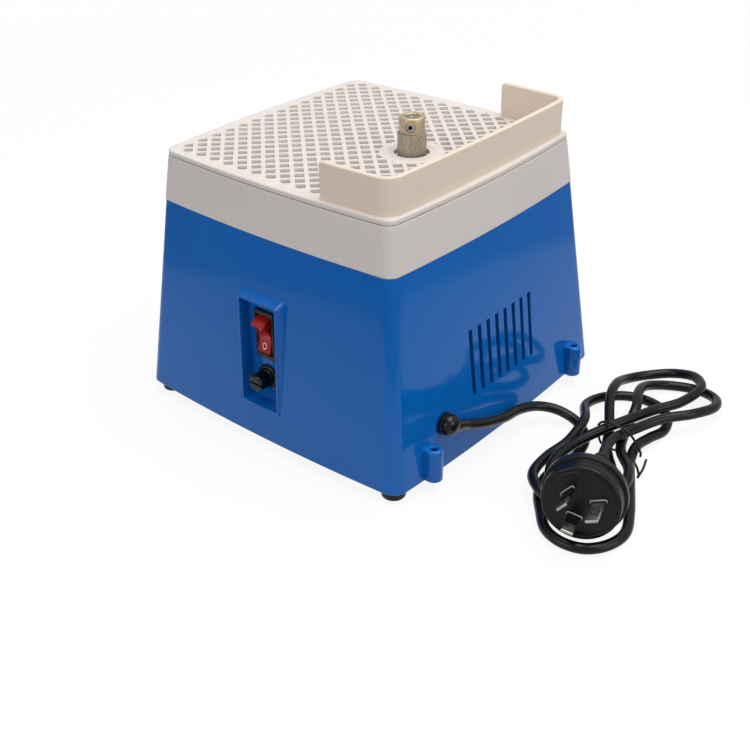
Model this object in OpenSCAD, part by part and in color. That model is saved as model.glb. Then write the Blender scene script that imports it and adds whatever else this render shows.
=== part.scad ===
// Bench-top stained-glass grinder: a tapered housing that holds an upright motor, a water tray on
// top of it, and a lattice worktop with a splash guard round a diamond grinding head.
// +X is the side with the switch, +Y the side with the vents and the cord. Z is 0 at the feet.

/* [Housing] */
// Width and depth of the housing at its foot
base_w = 200; // [190:1:230]
// Width and depth of the housing at its shoulder, under the tray
shoulder_w = 171.4; // [165:0.2:182]
// Height of the housing
housing_h = 120.5; // [113:0.5:150]
// How far the middle of each side stands out from its corners
side_bow = 3; // [0:0.5:5]
// Corner radius at the foot
foot_corner_r = 9.2; // [9:0.2:14]
// Corner radius at the shoulder
shoulder_corner_r = 7; // [5:0.5:12]
// Wall thickness of the housing
wall = 3; // [2:0.5:4]
// Thickness of the deck that closes the housing above
deck_t = 3; // [2.5:0.5:5]

/* [Feet and bottom plate] */
// Height of the rubber feet
foot_h = 7; // [4:0.5:12]
// Diameter of the rubber feet
foot_d = 14; // [11:0.5:16]
// Distance of each foot from the housing's side
foot_inset = 10.5; // [9.5:0.5:16]
// Thickness of the steel bottom plate
plate_t = 2; // [1.5:0.5:3]
// Height of the posts that the foot screws bite into
post_h = 24; // [16:1:40]

/* [Rear lugs] */
// Distance between the two lugs
lug_spacing = 143; // [120:1:150]
// Diameter of each lug
lug_d = 10; // [8:0.5:13]
// Bore of each lug
lug_bore = 4; // [3:0.5:6]
// Height of each lug
lug_h = 20; // [12:1:30]
// Distance of the lug's bore from the foot line of the housing
lug_out = 3.2; // [2:0.2:6]

/* [Vents] */
// Number of vent slots
vent_n = 8; // [3:1:9]
// Distance from one slot to the next
vent_pitch = 8.2; // [6:0.2:9]
// Width of a slot
vent_w = 3.2; // [2:0.2:4]
// Height of a slot
vent_h = 40.6; // [20:0.2:60]
// Height of the slots' lower end above the housing's foot
vent_z = 30.6; // [26:0.2:45]

/* [Switch recess] */
// Outer width of the hood round the recess
hood_w = 33; // [30:0.5:40]
// Thickness of the hood's side walls
hood_side = 3.2; // [2:0.2:5]
// Thickness of the hood's top
hood_top = 2.2; // [1.6:0.2:4]
// Height of the recess floor above the housing's foot
recess_z = 20; // [16:1:26]
// Height of the recess
recess_h = 66.5; // [62:0.5:75]
// Depth of the recess at its floor
recess_d = 9.3; // [8.5:0.1:11]
// Thickness of the panel at the back of the recess
panel_t = 2.5; // [2:0.5:3]

/* [Switch] */
// Width of the switch's frame
switch_w = 14.5; // [12:0.5:18]
// Height of the switch's frame
switch_h = 30.5; // [27:0.5:33]
// Depth of the switch behind the panel
switch_depth = 20; // [16:1:26]
// Width of the rocker
rocker_w = 10.6; // [8:0.2:11]
// Length of the rocker
rocker_l = 23; // [18:0.5:24]
// Angle from off to on
rocker_throw = 20; // [14:1:24]

/* [Fuse holder] */
// Height of the fuse holder's axis above the housing's foot
fuse_z = 36; // [32:1:38]
// Diameter of the threaded barrel
barrel_d = 12; // [11:0.5:13]
// Diameter of the barrel's flange
fuse_flange_d = 14.6; // [14:0.2:17]
// Diameter of the cap
cap_d = 11; // [9:0.2:12]
// How far the cap stands out of the flange
cap_l = 9.6; // [7:0.2:12]
// Length of the glass fuse
fuse_l = 20; // [18:1:24]

/* [Water tray] */
// Height of the water tray
tray_h = 26.9; // [20:0.1:40]
// How far the tray stands proud of the housing at its foot
tray_proud = 0.3; // [0:0.1:1]
// Width and depth of the tray at its rim
tray_top_w = 165.6; // [160:0.2:172]
// Wall and floor thickness of the tray
tray_wall = 3; // [2:0.5:4]
// Distance of the tray's screws from the housing's shoulder
tray_screw_inset = 23.7; // [18:0.1:30]
// Outer diameter of the tube round the spindle
tube_d = 24; // [20:0.5:28]
// Bore of the tube round the spindle
tube_bore = 13; // [11:0.5:16]

/* [Worktop] */
// Thickness of the worktop
worktop_t = 2.8; // [2:0.2:4]
// Distance from one hole to the next along the lattice's bars
lattice_pitch = 7.62; // [7:0.02:14]
// Width of a lattice bar
lattice_bar = 2.5; // [1.6:0.1:4]
// Width of the worktop's plain rim
rim_w = 4.8; // [4.8:0.1:12]
// Radius of the plain disc round the spindle hole
disc_r = 18.5; // [14:0.5:26]
// Diameter of the spindle hole
spindle_hole_d = 19.6; // [18:0.1:24]

/* [Splash guard] */
// Height of the splash guard
guard_h = 20.5; // [12:0.5:40]
// Wall thickness of the splash guard
guard_t = 3; // [3:0.1:3.6]
// Length of the guard's arms, from its back
guard_arm = 45.5; // [30:0.5:70]
// Outer corner radius of the guard
guard_corner_r = 10; // [8:0.5:20]

/* [Spindle] */
// Distance of the spindle's axis behind the middle of the housing
spindle_y = 30.5; // [20:0.5:34]
// Diameter of the shaft
shaft_d = 8; // [7:0.5:9]
// How far the grinding head stands above the worktop
head_above = 20.6; // [16:0.1:25]
// Diameter of the brass collar
collar_d = 15.2; // [13:0.1:16]
// Height of the brass collar
collar_h = 9; // [7:0.5:11]
// Diameter of the diamond-coated sleeve
sleeve_d = 16.2; // [14:0.1:17]
// Length of the diamond-coated sleeve
sleeve_l = 17.6; // [14:0.2:20]
// Diameter of the set screw
set_screw_d = 5; // [4:0.5:6]

/* [Motor] */
// Outer diameter of the motor
motor_d = 60; // [56:1:66]
// Length of the motor's steel can
can_l = 48; // [46:1:56]
// Wall thickness of the can
can_wall = 2; // [1.5:0.5:3]
// Thickness of the steel bracket that carries the motor
bracket_t = 2.5; // [2:0.5:4]
// Distance between the bracket's screws
bracket_pitch = 80; // [74:1:84]
// Height of the posts that the bracket hangs on
hanger_h = 6; // [4:0.5:8]
// Diameter of the cooling fan
fan_d = 50; // [40:1:58]

/* [Cord] */
// Diameter of the mains cord
cord_d = 6; // [5:0.5:7]
// Height of the cord's bushing above the housing's foot
bushing_z = 27; // [22:1:34]
// Distance of the bushing from the middle of the housing
bushing_x = 57; // [50:1:62]
// Diameter of the bushing's boss
bushing_d = 13; // [11:0.5:15]

/* [Hidden] */

$fn = 48;

// Clearances
fit = 0.05;          // between parts that sit in one another and don't move
slip = 0.3;          // between parts that lift or slide out
run = 0.03;          // radial clearance of a shaft in its bearing
e = 0.01;            // overshoot of a cut

// Screws of the M4 and M3 sizes
m4_r = 2;
m4_pilot = 1.7;
m4_head_r = 3.8;
m4_head_h = 2.4;
m3_r = 1.5;
m3_head_r = 2.8;
m3_head_h = 1.8;

// Levels above the floor
shell_z = foot_h;
shoulder_z = shell_z + housing_h;
rim_z = shoulder_z + tray_h;
top_z = rim_z + worktop_t;
head_z = top_z + head_above;
plate_top_z = shell_z + plate_t;

// Half widths, corner radii and their changes with height
base_half = base_w / 2;
shoulder_half = shoulder_w / 2;
tray_foot_half = shoulder_half + tray_proud;
tray_rim_half = tray_top_w / 2;
lean = atan((base_half - shoulder_half) / housing_h);

// Half width of the housing at a height above its foot, without the bow
function half_at(h) = base_half - (base_half - shoulder_half) * h / housing_h;
// Corner radius at that height
function corner_at(h) = foot_corner_r + (shoulder_corner_r - foot_corner_r) * h / housing_h;
// How far the housing's side stands out at a place along the side
function wall_at(along, h) = half_at(h) + side_bow * (1 - pow(along / half_at(h), 2));

// One closed outline, counterclockwise: bowed sides joined by round corners
CORNER_STEPS = 6;
SIDE_STEPS = 8;
function side_points(half, r, bow) = let(a = atan(2 * bow / (half - r)))
    concat(
        [for (i = [0:CORNER_STEPS])
            let(t = -90 + a + (90 - 2 * a) * i / CORNER_STEPS)
            [half - r + r * cos(t), -(half - r) + r * sin(t)]],
        [for (i = [1:SIDE_STEPS - 1])
            let(s = -1 + 2 * i / SIDE_STEPS)
            [half + bow * (1 - s * s), s * (half - r)]]);
function turned(points, a) = [for (p = points) [p.x * cos(a) - p.y * sin(a), p.x * sin(a) + p.y * cos(a)]];
function outline(half, r, bow) = let(side = side_points(half, r, bow))
    concat(side, turned(side, 90), turned(side, 180), turned(side, 270));
function at_height(points, z) = [for (p = points) [p.x, p.y, z]];

// Skin over a stack of rings that all have the same number of points
module loft(rings) {
    n = len(rings[0]);
    m = len(rings);
    polyhedron(
        points = [for (ring = rings) each ring],
        faces = concat(
            [[for (i = [0:n - 1]) i]],
            [for (k = [0:m - 2], i = [0:n - 1])
                let(j = (i + 1) % n, a = k * n + i, b = k * n + j)
                each [[a, a + n, b + n], [a, b + n, b]]],
            [[for (i = [n - 1:-1:0]) (m - 1) * n + i]]),
        convexity = 6);
}

// Tapered block with bowed sides from one level to another
module taper(half_0, r_0, z_0, half_1, r_1, z_1, bow) {
    loft([at_height(outline(half_0, r_0, bow), z_0), at_height(outline(half_1, r_1, bow), z_1)]);
}

// Points on a smooth line through the given points, so many to each span
function spline_at(p, i, t) = let(
        n = len(p) - 1,
        a = i > 0 ? p[i - 1] : 2 * p[0] - p[1],
        b = p[i],
        c = p[i + 1],
        d = i < n - 1 ? p[i + 2] : 2 * p[n] - p[n - 1])
    0.5 * (2 * b + (c - a) * t + (2 * a - 5 * b + 4 * c - d) * t * t + (3 * b - a - 3 * c + d) * t * t * t);
function smooth(p, steps) = concat(
    [for (i = [0:len(p) - 2], k = [0:steps - 1]) spline_at(p, i, k / steps)], [p[len(p) - 1]]);
// The same line with points at an even distance
function lengths(p, i = 0, sum = 0) = i >= len(p) - 1 ? [sum]
    : concat([sum], lengths(p, i + 1, sum + norm(p[i + 1] - p[i])));
function along(p, s, q, i = 0) = i >= len(p) - 2 || s[i + 1] >= q
    ? p[i] + (p[i + 1] - p[i]) * (q - s[i]) / (s[i + 1] - s[i]) : along(p, s, q, i + 1);
function even(p, step) = let(
        s = lengths(p),
        total = s[len(s) - 1],
        n = round(total / step))
    [for (k = [0:n]) along(p, s, min(total - e / 10, k * total / n))];
function unit(v) = v / norm(v);
function ring_at(p, i, r, sides) = let(
        n = len(p) - 1,
        t = unit(p[min(n, i + 1)] - p[max(0, i - 1)]),
        u = unit(cross(abs(t.z) < 0.95 ? [0, 0, 1] : [1, 0, 0], t)),
        v = cross(t, u))
    [for (k = [0:sides - 1]) p[i] + r * (cos(360 * k / sides) * u + sin(360 * k / sides) * v)];

// Round tube that follows a line of points
module tube(p, r, sides) {
    loft([for (i = [0:len(p) - 1]) ring_at(p, i, r, sides)]);
}
// Thin wire through a few points
module wire(p, r) {
    tube(smooth(p, 4), r, 6);
}
// Straight rod from one point to another
module rod(a, b, r_a, r_b) {
    d = b - a;
    translate(a)
        rotate([0, acos(d.z / norm(d)), atan2(d.y, d.x)])
            cylinder(r1 = r_a, r2 = r_b, h = norm(d));
}
// Copies at the four corners of a square
module four(half, y = 0) {
    for (sx = [-1, 1], sy = [-1, 1]) translate([sx * half, y + sy * half, 0]) children();
}
module at_spindle(z) {
    translate([0, spindle_y, z]) children();
}
// Pan-head screw, head upwards, with its head's seat at 0
module pan_screw(r, length, head_r, head_h) {
    difference() {
        union() {
            translate([0, 0, -length]) cylinder(r = r, h = length + e);
            cylinder(r1 = head_r, r2 = head_r * 0.8, h = head_h);
        }
        for (a = [0, 90]) rotate(a)
            translate([-head_r * 0.55, -head_r * 0.12, head_h * 0.4])
                cube([head_r * 1.1, head_r * 0.24, head_h]);
    }
}
module m4_screw(length) {
    pan_screw(m4_r - fit, length, m4_head_r, m4_head_h);
}
module m3_screw(length) {
    pan_screw(m3_r - fit, length, m3_head_r, m3_head_h);
}

// ---- Housing ----
foot_xy = base_half - foot_inset;
post_d = 14;
lug_x = lug_spacing / 2;
lug_y = base_half + lug_out;
deck_h = housing_h - deck_t;
deck_z = shell_z + deck_h;
tray_screw_xy = shoulder_half - tray_screw_inset;
tray_boss_r = 4.5;
tray_boss_h = 8;
spigot_r = tube_d / 2 + 3;
hanger_r = 5;
bracket_top_z = deck_z - hanger_h;
bushing = [bushing_x, wall_at(bushing_x, bushing_z), shell_z + bushing_z];
neck_r = bushing_d / 2 - 1.6;

hood_x = wall_at(0, recess_z) + 0.2;
panel_x = hood_x - recess_d;
panel_back_x = panel_x - panel_t;
recess_back_x = min(panel_back_x, wall_at(0, recess_z + recess_h + hood_top) - wall);
recess_bottom = shell_z + recess_z;
recess_top = recess_bottom + recess_h;
recess_w = hood_w - 2 * hood_side;
switch_z = recess_bottom + 43.2;
body_w = switch_w - 2;
body_h = switch_h - 3.5;
fuse_axis_z = shell_z + fuse_z;

module housing_room(inset) {
    taper(half_at(-1) - inset, corner_at(-1) - inset, shell_z - 1,
        half_at(deck_h) - inset, corner_at(deck_h) - inset, deck_z, side_bow);
}
module lugs() {
    for (s = [-1, 1]) translate([s * lug_x, 0, shell_z]) {
        translate([0, lug_y, 0]) cylinder(d = lug_d, h = lug_h);
        translate([-lug_d / 2, base_half - 12, 0]) cube([lug_d, lug_y - base_half + 12, lug_h]);
    }
}
module at_bushing() {
    translate(bushing) rotate([lean, 0, 0]) children();
}
// One wall, from the middle of one corner to the middle of the next
function quarter(half, r, z) = let(side = side_points(half, r, side_bow), middle = CORNER_STEPS / 2)
    at_height(concat([for (i = [middle:len(side) - 1]) side[i]],
        turned([for (i = [0:middle]) side[i]], 90)), z);
function reversed(points) = [for (i = [len(points) - 1:-1:0]) points[i]];
module housing_wall(direction) {
    rings = [for (h = [0, deck_h], inset = [0, wall])
        quarter(half_at(h) - inset, corner_at(h) - inset, shell_z + h)];
    rotate(direction) loft([for (i = [0:len(rings[0]) - 1]) [for (k = [0, 1, 3, 2]) rings[k][i]]]);
}
// Everything between two places along Y and two levels
module slab(y_0, y_1, z_0, z_1) {
    translate([0, y_0, z_0]) cube([2 * base_half, y_1 - y_0, z_1 - z_0]);
}
hood_bottom = recess_bottom - panel_t;
hood_top_z = recess_top + hood_top;
// The housing is one moulding. It is given as walls and a deck, so that each is a plain plate. The wall
// with the switch recess is in four parts: a panel on each side of the recess, and a bridge above and
// below it.
module housing_front() color("royalblue") housing_wall(-90);
module housing_left() color("royalblue") housing_wall(180);
module housing_right_panels() color("royalblue") intersection() {
    housing_wall(0);
    union() {
        slab(-2 * base_half, -hood_w / 2, 0, 2 * deck_z);
        slab(hood_w / 2, 2 * base_half, 0, 2 * deck_z);
    }
}
module housing_right_bridges() color("royalblue") intersection() {
    housing_wall(0);
    union() {
        slab(-hood_w / 2, hood_w / 2, 0, hood_bottom);
        slab(-hood_w / 2, hood_w / 2, hood_top_z, 2 * deck_z);
    }
}
module housing_rear() color("royalblue") difference() {
    union() {
        housing_wall(90);
        difference() {
            lugs();
            housing_room(wall / 2);
        }
    }
    for (i = [0:vent_n - 1])
        translate([(i - (vent_n - 1) / 2) * vent_pitch - vent_w / 2, base_half - 40, shell_z + vent_z])
            cube([vent_w, 60, vent_h]);
    at_bushing() rotate([-90, 0, 0]) translate([0, 0, -wall * 2]) cylinder(r = neck_r + fit, h = wall * 4);
    for (s = [-1, 1]) translate([s * lug_x, lug_y, shell_z - 1]) cylinder(d = lug_bore, h = lug_h + 2);
}
module housing_deck() color("royalblue") difference() {
    taper(half_at(deck_h), corner_at(deck_h), deck_z, shoulder_half, shoulder_corner_r, shoulder_z, side_bow);
    translate([0, 0, deck_z - 1]) four(tray_screw_xy) cylinder(r = m4_pilot, h = deck_t + 2);
    at_spindle(deck_z - 1) cylinder(r = spigot_r + slip, h = deck_t + 2);
}
// Block that the switch recess is sunk into
module recess_block() {
    translate([recess_back_x, -hood_w / 2, recess_bottom - panel_t])
        cube([hood_x - recess_back_x, hood_w, recess_h + panel_t + hood_top]);
}
module switch_recess() color("royalblue") {
    difference() {
        recess_block();
        // the room in front of the switch panel
        translate([panel_x, -recess_w / 2, recess_bottom]) cube([recess_d + 10, recess_w, recess_h]);
        // the room behind it, where the wall leans so far that the block needs one
        if (recess_back_x < panel_back_x) translate([recess_back_x - 1, -recess_w / 2, recess_bottom])
            cube([panel_back_x - recess_back_x + 1, recess_w, recess_h]);
        // panel cut-outs
        translate([panel_back_x - 1, -body_w / 2 - slip, switch_z - body_h / 2 - slip])
            cube([panel_t + 2, body_w + 2 * slip, body_h + 2 * slip]);
        translate([panel_back_x - 1, 0, fuse_axis_z]) rotate([0, 90, 0])
            cylinder(d = barrel_d + 2 * fit, h = panel_t + 2);
    }
}
// Posts inside the housing for the foot screws, the tray screws and the motor bracket
module housing_posts() color("royalblue") {
    difference() {
        intersection() {
            housing_room(wall);
            union() {
                translate([0, 0, plate_top_z]) four(foot_xy) cylinder(d = post_d, h = post_h);
                translate([0, 0, deck_z - tray_boss_h]) four(tray_screw_xy)
                    cylinder(r = tray_boss_r, h = tray_boss_h + 1);
                translate([0, 0, bracket_top_z]) four(bracket_pitch / 2, spindle_y)
                    cylinder(r = hanger_r, h = hanger_h + 1);
            }
        }
        translate([0, 0, shell_z]) four(foot_xy) cylinder(r = m4_pilot, h = plate_t + post_h - 4);
        translate([0, 0, deck_z - tray_boss_h - 1]) four(tray_screw_xy)
            cylinder(r = m4_pilot, h = tray_boss_h + 2);
        translate([0, 0, bracket_top_z - 1]) four(bracket_pitch / 2, spindle_y)
            cylinder(r = m4_pilot, h = hanger_h + 2);
    }
}
module bottom_plate() color("silver") {
    half = base_half - wall - 0.6;
    vent_ring = 16;
    difference() {
        translate([0, 0, shell_z]) linear_extrude(plate_t)
            polygon(outline(half, foot_corner_r - wall - 0.6, side_bow));
        translate([0, 0, shell_z - 1]) four(foot_xy) cylinder(r = m4_r + 0.2, h = plate_t + 2);
        at_spindle(shell_z - 1) for (a = [0:30:330]) rotate(a)
            translate([vent_ring, -1.5, 0]) cube([fan_d / 2 - vent_ring - 1, 3, plate_t + 2]);
        board_places(shell_z - 1) cylinder(r = m3_r - 0.2, h = plate_t + 2);
    }
}
module foot_profile() {
    difference() {
        polygon([[0, 0], [foot_d / 2 - 1.2, 0], [foot_d / 2 - 0.3, 0.6], [foot_d / 2, foot_h], [0, foot_h]]);
        translate([-1, -1]) square([m4_head_r + 1.4, 1 + foot_h / 2]);
        translate([-1, -1]) square([m4_r + 1.2, foot_h + 2]);
    }
}
module rubber_feet() color("dimgray") {
    four(foot_xy) rotate_extrude() foot_profile();
}
module foot_screws() color("silver") {
    translate([0, 0, foot_h / 2]) four(foot_xy) mirror([0, 0, 1])
        pan_screw(m4_pilot - fit, foot_h / 2 + plate_t + 12, m4_head_r, m4_head_h);
}

// ---- Tray ----
tray_floor_z = shoulder_z + tray_wall;
head_bottom_z = head_z - collar_h - sleeve_l - 1.2;
slinger_t = 1.6;
slinger_hub_h = 3.2;
slinger_z = head_bottom_z - slip - slinger_hub_h;
tube_top_z = slinger_z + slinger_hub_h - slinger_t - 0.8;
seal_r = spigot_r + 3;
seal_w = 2.4;
washer_t = 1.2;

module tray_screw_holes(r) {
    translate([0, 0, shoulder_z - 1]) four(tray_screw_xy) cylinder(r = r, h = tray_wall + 2);
}
module water_tray() color("gainsboro") {
    difference() {
        union() {
            difference() {
                taper(tray_foot_half, shoulder_corner_r, shoulder_z,
                    tray_rim_half, shoulder_corner_r, rim_z, side_bow);
                taper(tray_foot_half - tray_wall, shoulder_corner_r - tray_wall, tray_floor_z,
                    tray_rim_half - tray_wall, shoulder_corner_r - tray_wall, rim_z + e, side_bow);
            }
            at_spindle(deck_z) cylinder(r = spigot_r, h = deck_t + e);
            at_spindle(tray_floor_z - e) cylinder(d = tube_d, h = tube_top_z - tray_floor_z + e);
        }
        at_spindle(deck_z - 1) cylinder(d = tube_bore, h = tube_top_z - deck_z + 2);
        at_spindle(shoulder_z) rotate_extrude() translate([seal_r - e, -e]) square([seal_w + 2 * e, 1.2 + e]);
        tray_screw_holes(m4_r + 0.2);
    }
}
module tray_seal() color("dimgray") {
    at_spindle(shoulder_z) rotate_extrude() translate([seal_r + fit, 0]) square([seal_w - 2 * fit, 1.1]);
}
module tray_washers() color("black") {
    translate([0, 0, tray_floor_z]) four(tray_screw_xy) difference() {
        cylinder(r = m4_head_r + 1.2, h = washer_t);
        translate([0, 0, -1]) cylinder(r = m4_r + fit, h = washer_t + 2);
    }
}
module tray_screws() color("silver") {
    translate([0, 0, tray_floor_z + washer_t]) four(tray_screw_xy)
        pan_screw(m4_pilot - fit, tray_wall + washer_t + deck_t + tray_boss_h - 2, m4_head_r, m4_head_h);
}

// ---- Worktop and guard ----
lattice_half = tray_rim_half - rim_w;
skirt_h = 5;
skirt_t = 1.4;
skirt_half = tray_rim_half - tray_wall - slip;
guard_inset = 1.9;
guard_half = tray_rim_half - guard_inset;
guard_bow = side_bow / 2;
guard_front_y = guard_half - guard_arm;
peg_d = 2;
peg_l = 1.8;
// Distance of the guard's middle line from the housing's middle, at a place along its wall
function guard_mid(along) = guard_half + guard_bow * (1 - pow(along / guard_half, 2)) - guard_t / 2;
module peg_places() {
    for (s = [-1, 1]) {
        for (y = [guard_front_y + 6, guard_half - guard_corner_r - 4])
            translate([s * guard_mid(y), y, 0]) children();
        translate([s * guard_half / 2, guard_mid(guard_half / 2), 0]) children();
    }
}
module lattice() {
    hole = lattice_pitch - lattice_bar;
    n = ceil(lattice_half * sqrt(2) / lattice_pitch);
    difference() {
        intersection() {
            rotate(45) for (i = [-n:n], j = [-n:n])
                if (abs(i + j) * lattice_pitch / sqrt(2) < lattice_half + lattice_pitch
                    && abs(i - j) * lattice_pitch / sqrt(2) < lattice_half + lattice_pitch)
                    translate([(i + 0.5) * lattice_pitch, (j + 0.5) * lattice_pitch])
                        square(hole, center = true);
            polygon(outline(lattice_half, 7, 0));
        }
        translate([0, spindle_y]) circle(r = disc_r);
    }
}
module worktop() color("antiquewhite") {
    difference() {
        union() {
            translate([0, 0, rim_z]) linear_extrude(worktop_t) difference() {
                polygon(outline(tray_rim_half - 0.2, shoulder_corner_r, side_bow));
                lattice();
                translate([0, spindle_y]) circle(d = spindle_hole_d);
            }
            translate([0, 0, rim_z - skirt_h]) linear_extrude(skirt_h + e) difference() {
                polygon(outline(skirt_half, shoulder_corner_r - tray_wall, side_bow));
                polygon(outline(skirt_half - skirt_t, shoulder_corner_r - tray_wall - skirt_t, side_bow));
            }
        }
        translate([0, 0, top_z - peg_l - 0.4]) peg_places() cylinder(d = peg_d + 2 * slip, h = peg_l + 1);
    }
}
module splash_guard() color("bisque") {
    difference() {
        translate([0, 0, top_z]) linear_extrude(guard_h) difference() {
            polygon(outline(guard_half, guard_corner_r, guard_bow));
            polygon(outline(guard_half - guard_t, guard_corner_r - guard_t, guard_bow));
        }
        translate([-guard_half - 10, guard_front_y - 4 * guard_half, top_z - 1])
            cube([2 * guard_half + 20, 4 * guard_half, guard_h + 2]);
    }
    translate([0, 0, top_z - peg_l]) peg_places() cylinder(d = peg_d, h = peg_l + e);
}

// ---- Motor ----
bearing_d = 22;
bearing_w = 7;
cap_floor = 3;
upper_cap_h = bearing_w + cap_floor;
lower_cap_h = 22;
motor_r = motor_d / 2;
motor_top_z = bracket_top_z - bracket_t;
can_top_z = motor_top_z - upper_cap_h;
can_z = can_top_z - can_l;
lower_cap_z = can_z - lower_cap_h;
magnet_gap = 0.7;
magnet_t = 5.3;
magnet_r = motor_r - can_wall;
core_r = magnet_r - magnet_t - magnet_gap;
core_l = can_l - 16;
core_z = can_z + 8;
commutator_r = 10;
commutator_h = 9;
commutator_z = lower_cap_z + bearing_w + cap_floor + 1.5;
brush_z = commutator_z + commutator_h / 2;
brush_w = 6;
brush_l = 12;
holder_w = 9;
holder_r = motor_r + 3;
brush_cap_h = 3;
bolt_r = magnet_r - 2.5;
shaft_r = shaft_d / 2;
fan_h = 10;
fan_z = lower_cap_z - 4 - fan_h;
shaft_bottom_z = fan_z - 2;
boss_r = bearing_d / 2 + 3;
motor_screw_r = 20;

module motor_bracket() color("silver") {
    half = bracket_pitch / 2 + 8;
    difference() {
        at_spindle(motor_top_z) linear_extrude(bracket_t) polygon(outline(half, 6, 0));
        at_spindle(motor_top_z - 1) cylinder(r = boss_r + 0.2, h = bracket_t + 2);
        translate([0, 0, motor_top_z - 1]) four(bracket_pitch / 2, spindle_y)
            cylinder(r = m4_r + 0.2, h = bracket_t + 2);
        for (s = [-1, 1]) at_spindle(motor_top_z - 1) translate([s * motor_screw_r, 0, 0])
            cylinder(r = m4_r + 0.2, h = bracket_t + 2);
    }
}
// Four screws hold the bracket to its hangers, and two hold the motor to the bracket
module motor_screws() color("silver") {
    translate([0, 0, motor_top_z]) four(bracket_pitch / 2, spindle_y) mirror([0, 0, 1])
        pan_screw(m4_pilot - fit, bracket_t + hanger_h - 0.5, m4_head_r, m4_head_h);
    for (s = [-1, 1]) at_spindle(bracket_top_z) translate([s * motor_screw_r, 0, 0])
        pan_screw(m4_pilot - fit, bracket_t + 6, m4_head_r, m4_head_h);
}
module motor_can() color("slategray") {
    at_spindle(can_z) difference() {
        cylinder(r = motor_r, h = can_l);
        translate([0, 0, -1]) cylinder(r = motor_r - can_wall, h = can_l + 2);
    }
}
module magnets() color("dimgray") {
    for (s = [0, 180]) at_spindle(core_z - 2) rotate([0, 0, s - 60])
        rotate_extrude(angle = 120) translate([magnet_r - magnet_t, 0]) square([magnet_t - fit, core_l + 4]);
}
module upper_end_cap() color("gray") {
    at_spindle(can_top_z) difference() {
        union() {
            cylinder(r = motor_r, h = upper_cap_h);
            cylinder(r = boss_r, h = upper_cap_h + bracket_t - 0.3);
        }
        translate([0, 0, -1]) cylinder(r = bearing_d / 2 + fit, h = bearing_w + 1);
        cylinder(r = shaft_r + 1, h = upper_cap_h + bracket_t + 1);
        for (s = [-1, 1]) translate([s * motor_screw_r, 0, 2]) cylinder(r = m4_pilot, h = upper_cap_h);
        for (s = [-1, 1]) translate([0, s * bolt_r, -1]) cylinder(r = m3_r, h = 7);
    }
}
module lower_end_cap() color("gray") {
    at_spindle(lower_cap_z) difference() {
        union() {
            difference() {
                cylinder(r = motor_r, h = lower_cap_h);
                translate([0, 0, cap_floor]) cylinder(r = motor_r - 3, h = lower_cap_h);
            }
            cylinder(r = boss_r, h = cap_floor + bearing_w);
            for (s = [-1, 1]) translate([0, s * bolt_r, 0]) cylinder(r = 3.6, h = lower_cap_h);
        }
        translate([0, 0, cap_floor]) cylinder(r = bearing_d / 2 + fit, h = bearing_w + 1);
        translate([0, 0, -1]) cylinder(r = shaft_r + 1, h = lower_cap_h);
        for (s = [-1, 1]) translate([0, s * bolt_r, -1]) cylinder(r = m3_r + 0.1, h = lower_cap_h + 2);
        translate([-motor_r - 1, -holder_w / 2 - fit, brush_z - lower_cap_z - holder_w / 2 - fit])
            cube([2 * motor_r + 2, holder_w + 2 * fit, holder_w + 2 * fit]);
        for (a = [45:90:315]) rotate(a) translate([19, -3, -1]) cube([6, 6, cap_floor + 2]);
    }
}
module end_cap_bolts() color("silver") {
    for (s = [-1, 1]) at_spindle(lower_cap_z) translate([0, s * bolt_r, 0]) mirror([0, 0, 1])
        m3_screw(lower_cap_h + can_l + 5);
}
module bearing(z) {
    at_spindle(z) difference() {
        cylinder(d = bearing_d, h = bearing_w);
        translate([0, 0, -1]) cylinder(r = shaft_r + run, h = bearing_w + 2);
        for (side = [-1, bearing_w - 0.5]) translate([0, 0, side]) difference() {
            cylinder(r = bearing_d / 2 - 2, h = 1.5);
            translate([0, 0, -1]) cylinder(r = shaft_r + 2, h = 4);
        }
    }
}
module spindle_bearings() color("lightgray") for (z = [can_top_z, lower_cap_z + cap_floor]) bearing(z);

// Two copies across the spindle, each along local +X from the spindle's axis
module both_brushes() {
    for (a = [0, 180]) at_spindle(brush_z) rotate(a) children();
}
module brush_holders() color("goldenrod") {
    both_brushes() difference() {
        translate([commutator_r + 2, -holder_w / 2, -holder_w / 2])
            cube([holder_r - commutator_r - 2, holder_w, holder_w]);
        translate([0, -brush_w / 2 - 0.1, -brush_w / 2 - 0.1])
            cube([holder_r + 1, brush_w + 0.2, brush_w + 0.2]);
    }
}
module carbon_brushes() color("black") {
    both_brushes() difference() {
        translate([commutator_r, -brush_w / 2, -brush_w / 2]) cube([brush_l, brush_w, brush_w]);
        translate([0, 0, -brush_w]) cylinder(r = commutator_r + 0.05, h = 2 * brush_w);
    }
}
module brush_springs() color("silver") {
    spring_x0 = commutator_r + brush_l + 0.5;
    spring_x1 = holder_r - 0.5;
    turns = 4;
    steps = 10;
    both_brushes() tube([for (i = [0:turns * steps]) let(q = i / (turns * steps))
        [spring_x0 + (spring_x1 - spring_x0) * q, 2.2 * cos(360 * turns * q), 2.2 * sin(360 * turns * q)]],
        0.35, 5);
}
module brush_caps() color("saddlebrown") {
    both_brushes() difference() {
        translate([holder_r, 0, 0]) rotate([0, 90, 0]) cylinder(r = holder_w / 2, h = brush_cap_h);
        translate([holder_r + brush_cap_h - 1.2, -holder_w, -0.6]) cube([2, 2 * holder_w, 1.2]);
    }
}

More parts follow.
